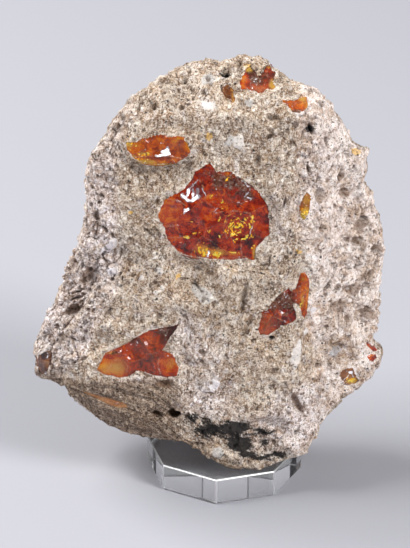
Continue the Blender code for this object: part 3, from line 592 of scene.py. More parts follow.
def write_marks(mesh, marks):
    """Point attributes for the materials: one number for each point under each name."""
    for key, values in marks.items():
        layer = mesh.attributes.new(key, "FLOAT", "POINT")
        layer.data.foreach_set("value", np.asarray(values, np.float32))


def add_mesh(name, points_mm, faces):
    """A smooth-shaded object of points in mm and faces, at the world's origin."""
    mesh = bpy.data.meshes.new(name)
    mesh.from_pydata((np.asarray(points_mm) * MM).tolist(), [], faces)
    mesh.update()
    mesh.shade_smooth()
    made = bpy.data.objects.new(name, mesh)
    bpy.context.scene.collection.objects.link(made)
    return made


def point_normals(mesh):
    """The mesh's own normal at each point."""
    normals = np.empty(len(mesh.vertices) * 3, np.float32)
    mesh.vertices.foreach_get("normal", normals)
    return normals.reshape(-1, 3).astype(float)


def ring_of(numbers):
    """The point numbers round the edge of a grid, in order."""
    return np.concatenate((numbers[:-1, 0], numbers[-1, :-1], numbers[:0:-1, -1], numbers[0, :0:-1]))


SEAT = 4.0  # width of the even rock around a nodule
RIND = 1.8  # width of the pale rind around a nodule
LAP = 0.45  # how far the rock laps over the edge of a nodule, on the whole,
LAP_UNEVEN = 0.35  # and how much that wavers
POCKET_EDGE = 0.9  # depth of a pocket at its edge
# Each sheet's points: in place, at the bottom of a pocket, and what else the rock needs at them.
front = np.arange((FRONT_GRID + 1) ** 2).reshape(FRONT_GRID + 1, -1)
inside = np.arange((BACK_GRID - 1) ** 2).reshape(BACK_GRID - 1, -1) + front.size
parts = []
for side, count, keep in (("front", FRONT_GRID, slice(None)), ("back", BACK_GRID, slice(1, -1))):
    a, b, out = (grid[keep, keep].ravel() for grid in sheet_points(side, count))
    t = sheet(a, b, side)
    away = 1.0 if side == "front" else -1.0
    seat, rind, sunk = np.full_like(a, 99.0), np.zeros_like(a), np.zeros_like(a)
    for on, centre, _, depth, outline in NODULES.values():
        if on != side:
            continue
        x, y = a - centre[0], b - centre[1]
        edge = side_reach(outline, np.arctan2(y, x))
        beyond = np.hypot(x, y) - edge
        ragged = LAP_UNEVEN * noise(np.stack((a, b, t), -1), 1.5, 81) - LAP
        part = np.hypot(x, y) / (edge + np.maximum(ragged, -0.18 * edge))
        pocket = (depth - POCKET_EDGE) * dome(part, 1.0) + POCKET_EDGE
        sunk = np.where(part < 1.0, pocket, sunk)
        seat = np.minimum(seat, beyond)
        rind = np.maximum(rind, 1.0 - np.abs(beyond) / RIND)
    inner = np.clip((1.0 - out) / (1.0 - INNER), 0.0, 1.0)
    parts.append((place(a, b, t), place(a, b, t + away * sunk), sunk, seat, rind, inner, a, b,
                  np.full_like(a, side == "front")))
form, pocket, sunk, seat, rind, inner, a, b, on_front = (
    np.concatenate(arrays) for arrays in zip(*parts))
rim = ring_of(front)
# The back's outermost squares meet every second point of the front's rim.
back = np.empty((BACK_GRID + 1, BACK_GRID + 1), int)
back[1:-1, 1:-1] = inside
back[0], back[-1] = front[0, ::2], front[-1, ::2]
back[:, 0], back[:, -1] = front[::2, 0], front[::2, -1]
squares = grid_faces(back)[:, ::-1]
halfway = dict(zip(zip(rim[::2], np.roll(rim, -2)[::2]), rim[1::2]))
halfway.update({(last, first): between for (first, last), between in list(halfway.items())})


def with_halfway(square):
    """A back square with the rim's points that lie halfway along its sides put in."""
    whole = []
    for first, last in zip(square, square[1:] + square[:1]):
        whole.append(first)
        if (first, last) in halfway:
            whole.append(halfway[first, last])
    return whole


faces = grid_faces(front).tolist() + [with_halfway(square) for square in squares.tolist()]
lump = add_mesh("rock_lump", form, faces)
zones = zones_of(form, a, b, on_front)
# How much shade is painted into each pit, groove, hollow and crack.
grain, hollow = surface_grain(form, a, b, on_front, zones)
clasts = clast_marks(form, a, b, on_front)
for kind, stands in CLAST_STANDS.items():
    grain += stands * np.clip(clasts[kind] * 4.0, 0.0, 1.0)
waver = 0.6 * noise(form, 3.0, 67)
vein = near_lines(a + waver, b + waver, VEINS)
vein = soft_step(1.4 - vein / VEIN_HALF) * on_front
grain += vein * (VEIN_HEIGHT - 0.7 * grain)
# Around a nodule the form is evened out over SEAT, and the grain is finer close to its edge.
calm = np.clip(seat / SEAT, 0.0, 1.0)
fine = np.clip(seat / 0.8, 0.3, 1.0)
flat_foot = 1.0 - 0.55 * np.maximum(zones["foot"], zones["under"])
raised = broken_form(form, inner) * calm * flat_foot + grain * fine
raised = form + point_normals(lump.data) * raised[:, None]
points = np.where(sunk[:, None] > 0.0, pocket, raised)
points[:, 2] = np.maximum(points[:, 2], REST)
lump.data.vertices.foreach_set("co", (points * MM).ravel())
lump.data.update()
lump.data.shade_flat()


class Shade:
    """A shader value. Sums on it add Math nodes, and node() adds any other node."""

    def __init__(self, tree, socket=None):
        self.tree, self.socket = tree, socket

    def node(self, kind, settings=None, sockets=None, out=0):
        """A new node's output: its settings are set first, then its sockets, by value or by link."""
        made = self.tree.nodes.new("ShaderNode" + kind)
        for key, value in (settings or {}).items():
            if key != "stops":
                setattr(made, key, value)
                continue
            ramp = made.color_ramp
            while len(ramp.elements) < len(value):
                ramp.elements.new(0.5)
            for stop, (at, colour) in zip(ramp.elements, value):
                stop.position, stop.color = at, (*colour, 1.0)
        for key, value in (sockets or {}).items():
            self.put(made.inputs[key], value)
        return Shade(self.tree, made.outputs[out])

    def put(self, entry, value):
        if isinstance(value, Shade):
            self.tree.links.new(value.socket, entry)
        else:
            entry.default_value = value

    def math(self, operation, first, second=0.0, clamp=False):
        """A Math node of two values."""
        settings = {"operation": operation, "use_clamp": clamp}
        return self.node("Math", settings, {0: first, 1: second})

    def __add__(self, other):
        return self.math("ADD", self, other)

    __radd__ = __add__

    def __sub__(self, other):
        return self.math("SUBTRACT", self, other)

    def __rsub__(self, other):
        return self.math("SUBTRACT", other, self)

    def __mul__(self, other):
        return self.math("MULTIPLY", self, other)

    __rmul__ = __mul__

    def __truediv__(self, other):
        return self.math("DIVIDE", self, other)

    def __gt__(self, other):
        return self.math("GREATER_THAN", self, other)

    def __lt__(self, other):
        return self.math("LESS_THAN", self, other)

    def clamp(self):
        return self.math("ADD", self, 0.0, clamp=True)

    def most(self, other):
        return self.math("MAXIMUM", self, other)

    def ramp(self, *stops):
        return self.node("ValToRGB", {"stops": stops}, {0: self})

    def band(self, low, high):
        """0 at low and 1 at high, straight between and held outside; low may be the higher one."""
        return ((self - low) / (high - low)).clamp()

    def mix(self, first, second):
        """Colour between first and second, this value being the share of the second."""
        return self.node("Mix", {"data_type": "RGBA"}, {0: self, 6: first, 7: second}, out=2)

    def times(self, other, share=1.0):
        """This colour multiplied by another, by a share."""
        settings = {"data_type": "RGBA", "blend_type": "MULTIPLY"}
        return self.node("Mix", settings, {0: share, 6: self, 7: other}, out=2)

    def scaled(self, factor):
        """This vector times a number."""
        return self.node("VectorMath", {"operation": "SCALE"}, {0: self, "Scale": factor})

    def stretched(self, factors):
        """This vector times a vector, axis by axis."""
        return self.node("VectorMath", {"operation": "MULTIPLY"}, {0: self, 1: factors})

    def in_mm(self):
        """The place on the piece, from Object coordinates."""
        return self.node("TexCoord", out="Object").scaled(1.0 / MM)

    def mark(self, name):
        """A point attribute of the piece."""
        return self.node("Attribute", {"attribute_name": name}, out="Fac")


def new_material(name, sockets, build=None):
    """A Principled material: build(shade) returns the sockets that vary over the surface."""
    made = bpy.data.materials.new(name)
    made.use_nodes = True
    shade = Shade(made.node_tree)
    principled = made.node_tree.nodes["Principled BSDF"]
    for key, value in {**sockets, **(build(shade) if build else {})}.items():
        shade.put(principled.inputs[key], value)
    return made


# The rock's own colours, from tan ground to chalky crust, with the bark of its foot.
TAN = (0.40, 0.29, 0.20, 1.0)
BEIGE = (0.62, 0.525, 0.42, 1.0)
ASH = (0.52, 0.475, 0.43, 1.0)
CHALK = (0.97, 0.94, 0.92, 1.0)
CREAM = (0.82, 0.73, 0.65, 1.0)
BONE = (0.88, 0.87, 0.87, 1.0)
RUST = (0.24, 0.155, 0.105, 1.0)
UMBER = (0.085, 0.05, 0.03, 1.0)
BARK = (0.150, 0.108, 0.080, 1.0)
SOOT = (0.015, 0.014, 0.015, 1.0)  # black specks
STAIN_AND_PIT_SHADE = (0.012, 0.011, 0.011, 1.0)  # the sooty stain, and painted shade in some pits
PEARL = (0.86, 0.86, 0.90, 1.0)
STEEL = (0.58, 0.61, 0.66, 1.0)
OCHRE = (0.80, 0.48, 0.06, 1.0)
VEIN_BUFF = (0.66, 0.56, 0.43, 1.0)
POCKET_CREAM = (0.92, 0.84, 0.66, 1.0)
# Tints that the colours are multiplied by.
WARM = (1.05, 0.97, 0.84, 1.0)
COOL = (0.97, 0.97, 1.02, 1.0)
TANNED = (0.76, 0.67, 0.57, 1.0)
STAINED = (0.60, 0.49, 0.38, 1.0)
CHALKY = (1.14, 1.12, 1.09, 1.0)
SLIVER = (0.36, 0.28, 0.22, 1.0)
DAYLIT = (1.16, 1.09, 0.99, 1.0)
COLDER = (0.97, 0.99, 1.08, 1.0)
PALER = (1.12, 1.12, 1.13, 1.0)
WEATHERED = (0.71, 0.62, 0.545, 1.0)
# Colour and strength of each kind of clast.
CLAST_TONES = {"white_clast": (PEARL, 0.66), "steel_clast": (STEEL, 0.6),
               "brown_clast": (RUST, 0.7), "ochre_clast": (OCHRE, 0.6)}
# Fragments strewn through the rock: size in mm, share of the cells, channel, colour and strength.
SHARDS = (
    (3.6, 0.10, 0, (0.90, 0.87, 0.84, 1.0), 0.55), (3.1, 0.09, 1, (0.42, 0.37, 0.33, 1.0), 0.50),
    (2.7, 0.12, 2, TAN, 0.55), (2.2, 0.10, 0, CHALK, 0.65), (1.8, 0.10, 1, RUST, 0.55),
    (1.5, 0.08, 2, (0.62, 0.60, 0.68, 1.0), 0.60), (1.3, 0.06, 0, (0.11, 0.07, 0.045, 1.0), 0.75),
)


def rock_shader(shade):
    """A ground of clouded colours, warm or cool and pale or brown by the point attributes, with a
    painted highlight along the left of the rim and bark on the foot; over it drifts of stain,
    fragments, fine grain in three sizes, clasts, pores, a pale rind round the nodules, painted
    shade in the hollows, pits and cracks, and the sooty stain, which also paints shade into some pits."""
    mm = shade.in_mm()
    sway = shade.node("TexNoise", None, {"Vector": mm, "Scale": 1.1, "Detail": 3.0}, out=1)
    bent = shade.node("VectorMath", {"operation": "MULTIPLY_ADD"},
                      {0: sway, 1: (1.0, 1.0, 1.0), 2: mm})

    def cells(size, out="Color"):
        """Colour of each cell of a size in mm, or the distance to its seed."""
        return shade.node("TexVoronoi", {"feature": "F1"}, {"Vector": bent, "Scale": 1.0 / size}, out=out)

    def cell_borders(size):
        """Distance to the nearest border between cells, in parts of the cell size."""
        sockets = {"Vector": bent, "Scale": 1.0 / size}
        return shade.node("TexVoronoi", {"feature": "DISTANCE_TO_EDGE"}, sockets)

    def cloud(size, detail=2.0, rough=0.5):
        """Noise of a size in mm, about 0.5."""
        sockets = {"Vector": mm, "Scale": 1.0 / size, "Detail": detail, "Roughness": rough}
        return shade.node("TexNoise", None, sockets)

    def tint(size, channel=0):
        """A number from 0 to 1 for each cell: red, green and blue are three such sets."""
        return shade.node("SeparateColor", None, {0: cells(size)}, out=channel)

    def flecks(size, radius, share, channel=0):
        """Spots of a radius, in parts of the cell size, in that share of the cells."""
        near = cells(size, "Distance")
        return near.band(radius, radius * 0.6) * (tint(size, channel) > (1.0 - share))

    def shards(size, share, channel=0):
        """Angular fragments: that share of the cells of a size, less a margin along their borders."""
        return (tint(size, channel) > (1.0 - share)) * cell_borders(size).band(0.03, 0.12)

    bark = shade.mark("bark")
    bark = (bark + bark * (1.0 - bark) * (cloud(3.0, 4.0, 0.7) - 0.5) * 9.0).clamp()
    chalky = shade.mark("chalky")
    rugged = 1.0 - bark * 0.75 - chalky * 0.5
    gritty = 1.0 - bark * 0.2 - chalky * 0.2

    # The ground: tan, beige and ash, with crust where it is pale or carries the painted rim highlight, then
    # warmer or cooler.
    pale = (shade.mark("pale") + (cloud(9.0, 5.0, 0.65) - 0.5) * 1.3).band(0.0, 1.0)
    colour = cloud(5.0, 5.0, 0.7).band(0.42, 0.58).mix(TAN, BEIGE)
    colour = (cloud(7.0, 4.0, 0.7).band(0.50, 0.62) * 0.8).mix(colour, ASH)
    crust = cloud(2.4, 4.0, 0.7).band(0.42, 0.56).mix(CREAM, CHALK)
    colour = (pale * 0.92).mix(colour, crust)
    warm = (shade.mark("warm") + (cloud(6.0, 4.0, 0.6) - 0.5) * 1.6).band(-1.0, 1.0)
    colour = colour.times(warm.mix(COOL, WARM))
    coldness = shade.mark("warm").band(-0.1, -0.9)

    # The bark of the foot, with pale streaks and threads along its bedding.
    colour = (bark * cloud(3.0, 4.0, 0.7).band(0.30, 0.46)).mix(colour, BARK)
    along = shade.node("SeparateXYZ", None, {0: mm})
    beds = shade.node("CombineXYZ", None, {0: shade.mark("bed") * 1.1, 1: along * 0.09})
    streak = shade.node("TexNoise", None, {"Vector": beds, "Scale": 1.0, "Detail": 3.0})
    colour = (bark * streak.band(0.54, 0.62) * 0.5).mix(colour, CREAM)
    thread = shade.node("TexNoise", None, {"Vector": beds.scaled(2.3), "Scale": 1.0, "Detail": 4.0})
    colour = (bark * thread.band(0.56, 0.64) * 0.4).mix(colour, CHALK)
    colour = (bark * thread.band(0.44, 0.36) * 0.6).mix(colour, UMBER)

    # Drifts of stain and of chalk over the face, patches of stain, and the veins.
    drift = cloud(6.5, 5.0, 0.65)
    colour = colour.times(TANNED, drift.band(0.50, 0.42) * (1.0 - bark))
    whitened = drift.band(0.52, 0.59) * (1.0 - bark) * (pale * 0.7 + 0.35).clamp()
    colour = whitened.mix(colour, CHALK)
    colour = colour.times(STAINED, cloud(4.2, 4.0, 0.7).band(0.56, 0.64) * 0.8)
    colour = colour.times(CHALKY, chalky)
    colour = (shade.mark("vein") * 0.7).mix(colour, VEIN_BUFF)

    # Motes, each its own tint, pale seams between them, blotches and fragments.
    motes = tint(1.6, 1).ramp((0.0, (0.42, 0.34, 0.27)), (0.14, (0.70, 0.63, 0.55)),
                              (0.30, (0.95, 0.93, 0.91)), (0.75, (1.0, 1.0, 1.0)),
                              (1.0, (1.08, 1.08, 1.08)))
    colour = colour.times(motes, rugged * 0.75)
    seams = cell_borders(1.6).band(0.10, 0.04) * cloud(4.0, 3.0).band(0.42, 0.56)
    colour = (seams * 0.45).mix(colour, CHALK)
    blotch = cloud(1.5, 4.0, 0.8).band(0.60, 0.70) * (1.0 - pale * 0.6)
    colour = (blotch * 0.55).mix(colour, RUST)
    for size, part, channel, tone, share in SHARDS:
        colour = (shards(size, part, channel) * rugged * share).mix(colour, tone)

    # The fine grain: shadows and lights between grains, the grains, slivers and dust.
    fine = cloud(0.9, 6.0, 0.8)
    shadows = fine.ramp((0.34, (0.20, 0.14, 0.10)), (0.43, (0.66, 0.59, 0.52)),
                        (0.54, (1.0, 1.0, 1.0)))
    colour = colour.times(shadows, rugged * 0.9)
    colour = (fine.band(0.54, 0.66) * rugged * 0.45).mix(colour, BONE)
    grains = tint(0.7).ramp((0.0, (0.42, 0.35, 0.29)), (0.20, (0.86, 0.83, 0.80)),
                            (0.5, (1.0, 1.0, 1.0)))
    colour = colour.times(grains, gritty * 0.85)
    colour = (tint(0.7).band(0.72, 1.0) * gritty * 0.4).mix(colour, BONE)
    splinters = {"Vector": bent.stretched((1.0, 0.5, 0.42)), "Scale": 1.35}
    slivers = shade.node("TexVoronoi", {"feature": "F1"}, splinters, out="Color")
    slivers = shade.node("SeparateColor", None, {0: slivers})
    colour = colour.times(SLIVER, slivers.band(0.12, 0.05) * gritty * 0.8)
    colour = (slivers.band(0.88, 0.95) * gritty * 0.5).mix(colour, BONE)
    dust = cloud(0.42, 2.0, 0.9)
    dark_dust = dust.ramp((0.37, (0.30, 0.23, 0.18)), (0.46, (0.88, 0.86, 0.84)),
                          (0.52, (1.0, 1.0, 1.0)))
    colour = colour.times(dark_dust, gritty * 0.95)
    colour = (dust.band(0.53, 0.64) * gritty * 0.6).mix(colour, BONE)

    # Clasts, pores, black specks and chalky flecks.
    for kind, (tone, share) in CLAST_TONES.items():
        edge = shade.mark(kind) + (cloud(1.2, 4.0, 0.7) - 0.5) * 1.3
        colour = (edge.band(0.0, 0.10) * share).mix(colour, tone)
    pores = flecks(1.25, 0.30, 0.22, 1).most(flecks(0.8, 0.34, 0.14, 2))
    colour = (pores * 0.9).mix(colour, UMBER)
    specks = flecks(2.2, 0.22, 0.28, 2).most(flecks(1.3, 0.24, 0.20, 0))
    colour = (specks * 0.95).mix(colour, SOOT)
    colour = (flecks(1.9, 0.34, 0.10) * 0.75).mix(colour, CHALK)

    # The broken rind, painted shade in the hollows, the sooty stain with painted shade in some pits, and the
    # last tints.
    rind = shade.mark("rind") * cloud(5.0, 3.0, 0.6).band(0.50, 0.58)
    rind = (rind + (cloud(1.6, 4.0, 0.8) - 0.5) * 3.0).band(0.35, 0.75)
    colour = (rind * (1.0 - bark) * 0.45).mix(colour, CHALK)
    # Painted shade: the pits, grooves, hollows and cracks are darkened towards umber.
    colour = (shade.mark("hollow") * 0.95).clamp().mix(colour, UMBER)
    # The sooty stain, which also paints shade into some pits.
    sooty_and_pit_shade = shade.mark("soot") + (cloud(2.6, 5.0, 0.7) - 0.5) * 2.3 + (streak - 0.5) * 2.0
    sooty_and_pit_shade = (sooty_and_pit_shade + (cloud(0.6, 4.0, 0.9) - 0.5) * 2.2).band(0.52, 0.80)
    colour = (sooty_and_pit_shade * 0.97).mix(colour, STAIN_AND_PIT_SHADE)
    colour = colour.times(DAYLIT).times(COLDER, chalky.most(coldness))
    colour = colour.times(PALER, coldness * (1.0 - chalky)).times(WEATHERED, bark)
    colour = shade.mark("pocket").clamp().mix(colour, POCKET_CREAM)
    height = fine * 1.6 + tint(0.7) * 0.5 - pores * 0.6
    normal = shade.node("Bump", None, {"Strength": 1.0, "Distance": 0.00028, "Height": height})
    return {"Base Color": colour, "Normal": normal}


# The face is paler over its lower right corner, and along the left of its rim a painted highlight stands in
# for the light that catches it.
corner = soft_step((a - 6.0 + 0.5 * (b + 30.0)) / 14.0) * soft_step((-26.0 - b) / 10.0)
left_rim_light = (1.0 - inner) ** 3 * soft_step((b + 34.0) / 8.0) * soft_step(-a / 12.0)
write_marks(lump.data, {
    "pale": zones["right"] + 0.65 * zones["left"] + 0.05 * zones["top"] + 0.15
    + on_front * (0.3 * corner + 0.5 * left_rim_light + blobs(a, b, TONES, 4)),
    "chalky": zones["right"],
    "warm": on_front * (blobs(a, b, TONES, 5) - 0.5 * (zones["right"] + zones["left"])),
    "bark": np.maximum(zones["foot"] * soft_step((-4.0 - a) / 9.0) * 0.92, zones["under"]),
    "bed": edge_line(SEAM_EDGE, a, 0) - b + 0.25 * noise(form, 6.0, 66),
    "soot": on_front * blobs(a, b, SOOT_AND_PIT_SHADE),
    **clasts,
    "rind": np.clip(rind, 0.0, 1.0),
    # Painted shade in the pits, grooves, hollows and cracks.
    "hollow": hollow * fine,
    "pocket": sunk > 0.0,
    "vein": vein,
})
lump.data.materials.append(new_material("volcanic_rock", {"Roughness": 0.93}, rock_shader))
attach(lump, "root")
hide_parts("matrix")

# ======================================================================= the nodules of opal
# Glassy opal that filled hollows in the rock while it cooled, broken across with the rock: a
# shell-like fracture in front, the rough wall of its hollow behind. Each sits in its own pocket.
OPAL_INDEX = 1.45
THROUGH = 0.55  # share of the light that goes into the opal; the rest comes back from its milkiness
ABSORB = {"Color": (0.985, 0.60, 0.10, 1.0), "Density": 110.0}  # what the light takes on, per metre
# How rough the bare glass of each kind is.
GLOSS = {"opal_red": 0.04, "opal_orange": 0.08, "opal_yellow": 0.12, "opal_brown": 0.15,
         "opal_pink": 0.35}
# Colours of each kind where it is honey-like, orange, red and deep.
TINTS = {
    "opal_red": ((0.96, 0.28, 0.020), (0.80, 0.080, 0.008), (0.44, 0.022, 0.005), (0.05, 0.004, 0.005)),
    "opal_orange": ((1.0, 0.57, 0.04), (1.0, 0.29, 0.014), (0.76, 0.12, 0.010), (0.28, 0.03, 0.010)),
    "opal_yellow": ((0.97, 0.72, 0.08), (0.90, 0.48, 0.04), (0.64, 0.20, 0.02), (0.34, 0.08, 0.015)),
    "opal_brown": ((0.74, 0.40, 0.09), (0.46, 0.16, 0.035), (0.21, 0.06, 0.02), (0.06, 0.018, 0.012)),
    "opal_pink": ((1.0, 0.72, 0.46), (1.0, 0.56, 0.26), (0.84, 0.36, 0.13), (0.50, 0.18, 0.07)),
}
# Each nodule's kind, the size and depth of its scallops, how deep its colour is (-1 to 1), and the
# counts of its mesh, round and across.
LOOKS = {
    "opal_centre": ("opal_red", 8.5, 0.55, 0.0, 300, 66),
    "opal_upper_left": ("opal_orange", 5.0, 0.5, 0.16, 192, 40),
    "opal_top": ("opal_red", 3.4, 0.6, 0.55, 144, 28),
    "opal_shard": ("opal_brown", 2.6, 0.4, 0.0, 72, 16),
    "opal_upper_right": ("opal_orange", 3.0, 0.4, -0.1, 72, 16),
    "opal_yellow": ("opal_yellow", 3.0, 0.4, 0.0, 72, 16),
    "opal_blade": ("opal_orange", 3.2, 0.4, 0.45, 96, 20),
    "opal_right_lens": ("opal_red", 4.0, 0.6, 0.15, 144, 30),
    "opal_lower_left": ("opal_red", 4.6, 0.6, 0.25, 216, 46),
    "opal_far_left": ("opal_brown", 2.6, 0.4, 0.1, 72, 16),
    "opal_right_sliver": ("opal_red", 2.0, 0.2, 0.2, 60, 12),
    "opal_right_bead": ("opal_red", 2.0, 0.3, -0.4, 60, 12),
    "opal_lower_right": ("opal_brown", 2.6, 0.4, -0.2, 72, 16),
    "opal_seam": ("opal_pink", 3.0, 0.2, 0.0, 96, 16),
    "opal_back_upper": ("opal_orange", 5.0, 0.7, 0.0, 120, 24),
    "opal_back_lower": ("opal_red", 4.4, 0.6, 0.0, 120, 24),
    "opal_back_left": ("opal_orange", 4.0, 0.5, 0.0, 96, 20),
}
# Middles of the shell-like bowls of a fracture, for the nodules where they are plain to see.
SHELLS = {
    "opal_centre": (
        (-14.4, 1.0), (-7.2, 7.6), (-14.6, -5.4), (-10.2, -10.6), (-8.2, -3.4), (-1.6, 0.6),
        (-2.8, 12.6), (5.4, 12.0), (8.4, -3.8), (16.8, -1.6), (1.6, 5.6), (-1.4, -12.0),
        (12.4, 6.4), (1.2, -6.8), (12.0, -11.0)),
    "opal_upper_left": ((-7.5, 1.0), (-1.5, 2.4), (5.5, 1.0), (0.5, -3.8), (-6.0, -3.0)),
    "opal_lower_left": ((-9.5, -3.6), (-3.5, 2.0), (3.0, 6.6), (8.6, 9.0), (-1.5, -3.6), (7.6, -2.6)),
}
# Where a nodule differs from its own colour, as x, y, half sizes and amount: painted golden glints
# that stand in for light caught by cracks inside, deeper (or lighter) colour, and rough crust.
PAINTED_GOLD_GLINTS = {
    "opal_centre": ((8.0, -4.2, 3.8, 3.6, 1.0), (9.2, -3.0, 1.0, 0.7, 0.7), (6.3, -6.4, 0.9, 0.8, 1.0),
                    (5.8, -1.2, 0.8, 1.0, 0.5), (11.1, -7.1, 0.8, 0.8, 1.0), (13.0, -2.2, 0.7, 3.2, 0.7),
                    (2.4, 4.3, 1.0, 1.3, 1.1), (-0.9, 6.7, 0.8, 0.7, 1.3), (-1.4, -4.9, 0.8, 0.8, 1.2),
                    (-5.3, -5.2, 1.2, 0.7, 0.9), (-8.7, -7.3, 1.3, 0.5, 1.6), (-7.6, -2.0, 0.9, 0.35, 1.0),
                    (-4.4, -11.2, 2.0, 1.6, 0.8), (-3.2, -12.8, 0.5, 1.1, 2.2), (1.0, -13.0, 1.2, 1.3, 2.2),
                    (6.5, -12.3, 1.5, 0.35, 1.8), (4.4, 13.1, 0.9, 1.3, 0.9)),
    "opal_upper_left": ((-6.0, -2.6, 5.0, 1.4, 0.6), (-9.0, 2.6, 1.6, 1.2, 0.8), (-4.6, -1.6, 0.6, 0.6, 1.4)),
    "opal_yellow": ((0.2, -2.8, 1.2, 1.8, 1.0),),
    "opal_blade": ((-0.5, -2.3, 0.8, 1.0, 0.5),),
    "opal_lower_right": ((1.0, -1.5, 1.8, 1.0, 0.6),),
}
DEEP = {
    "opal_centre": ((1.2, -6.6, 3.6, 3.4, 0.75), (1.1, -9.8, 4.4, 1.2, 0.6), (-14.6, 0.6, 3.4, 4.6, -0.45),
                    (-2.9, 12.2, 3.2, 3.4, -0.1), (16.4, -1.0, 2.2, 5.0, 0.1), (-14.0, -8.4, 2.6, 2.4, -0.3),
                    (13.7, -12.4, 0.9, 2.2, -2.0), (12.2, -9.4, 1.3, 2.0, 1.1), (-9.6, -9.8, 3.6, 2.6, 0.35),
                    (6.0, 7.6, 6.0, 1.4, 0.5), (-5.8, 1.6, 3.0, 2.6, 0.25), (4.4, 13.0, 1.2, 1.6, -0.9),
                    (5.6, 11.6, 1.6, 1.2, 0.8), (7.6, -4.0, 3.4, 3.0, -0.35), (-1.0, 6.0, 2.6, 1.6, -0.3),
                    (4.0, -12.2, 5.4, 1.4, -0.6), (-5.0, -10.6, 2.2, 1.4, -0.8)),
    "opal_upper_left": ((-4.0, -3.6, 7.0, 1.1, -1.0), (0.5, -2.6, 4.5, 0.9, 0.8), (7.5, -0.5, 3.0, 3.0, 0.35),
                        (-3.0, 1.5, 5.0, 1.6, -0.1), (-10.0, 2.4, 1.6, 1.4, -0.8)),
    "opal_top": ((-4.9, 1.2, 1.3, 1.8, -1.7), (-2.4, 2.2, 1.2, 1.2, 0.9), (1.0, 1.2, 3.2, 0.8, 0.9),
                 (4.0, 3.6, 1.4, 1.8, -0.5), (0.4, -2.2, 3.4, 1.4, -1.1), (-5.0, -1.4, 1.4, 1.2, -0.7)),
    "opal_lower_left": ((-9.3, -4.0, 3.7, 2.9, -1.3), (-14.0, -2.3, 2.6, 2.8, -1.1),
                        (2.4, 5.9, 3.4, 2.6, -0.25), (9.2, 8.4, 2.8, 3.2, 1.6),
                        (8.4, -2.4, 3.0, 3.2, -1.1), (3.6, 2.7, 3.6, 0.5, 0.5),
                        (0.0, -2.0, 3.4, 3.0, 0.15)),
    "opal_yellow": ((0.2, -2.8, 1.3, 1.9, -0.9), (0.0, 1.0, 0.8, 2.0, 0.4)),
    "opal_blade": ((-2.4, 0.5, 1.2, 4.0, 1.0), (0.7, 0.0, 1.2, 7.0, -0.25), (0.2, -5.6, 1.0, 1.6, 0.7)),
    "opal_right_lens": ((3.4, -0.6, 2.0, 1.2, -0.3), (-3.8, -3.4, 3.0, 2.6, -0.1), (3.0, 2.6, 2.6, 1.6, 0.9),
                        (5.6, 0.4, 0.8, 1.6, 0.9), (-0.5, -2.8, 1.4, 1.0, 0.35), (-3.6, 1.6, 2.0, 0.7, 0.1)),
    "opal_upper_right": ((-3.0, 0.9, 1.8, 1.2, 0.5), (0.4, 0.2, 2.4, 1.2, -0.1), (0.6, -2.0, 2.6, 0.6, 0.9)),
    "opal_far_left": ((-0.6, 0.6, 1.0, 3.0, 0.6), (0.9, -1.0, 0.8, 2.4, -0.8), (0.4, 2.6, 1.6, 1.8, 0.7)),
    "opal_shard": ((-1.0, 1.0, 1.0, 1.6, 0.3), (0.4, -1.0, 0.6, 2.0, 0.7), (1.6, -1.0, 0.7, 2.4, -0.7)),
    "opal_right_sliver": ((-0.8, 0.0, 0.6, 1.0, -0.8),),
    "opal_lower_right": ((1.2, -1.6, 1.8, 1.0, -1.0), (-1.8, 0.4, 1.2, 1.4, 0.4)),
}
CRUST = {
    "opal_centre": ((5.4, 11.8, 5.4, 3.4, 0.95), (11.0, 10.4, 2.4, 2.8, 0.9), (11.8, 6.4, 2.2, 1.9, 0.8),
                    (8.6, 4.4, 1.4, 1.0, 0.6), (1.0, 12.0, 1.4, 3.6, 0.6), (-2.6, 14.6, 2.4, 1.6, 0.5)),
    "opal_right_lens": ((1.4, 5.4, 4.2, 2.6, 1.4), (-2.0, 3.0, 2.4, 1.4, 0.7), (4.6, 3.0, 1.0, 2.0, 0.6)),
    "opal_lower_left": ((-10.4, 1.6, 2.2, 0.9, 0.7), (6.4, 9.2, 3.4, 0.9, 0.6), (3.6, 0.4, 1.6, 1.3, 0.6)),
    "opal_top": ((-0.8, 0.6, 1.8, 1.1, 0.9), (-2.0, 2.2, 0.8, 1.0, 0.5)),
    "opal_lower_right": ((1.0, 1.4, 2.0, 1.0, 0.8),),
    "opal_far_left": ((1.0, 3.0, 1.4, 1.2, 0.8), (0.4, -3.6, 1.2, 0.7, 0.9)),
    "opal_upper_right": ((0.2, -1.9, 2.4, 0.8, 1.2),),
}
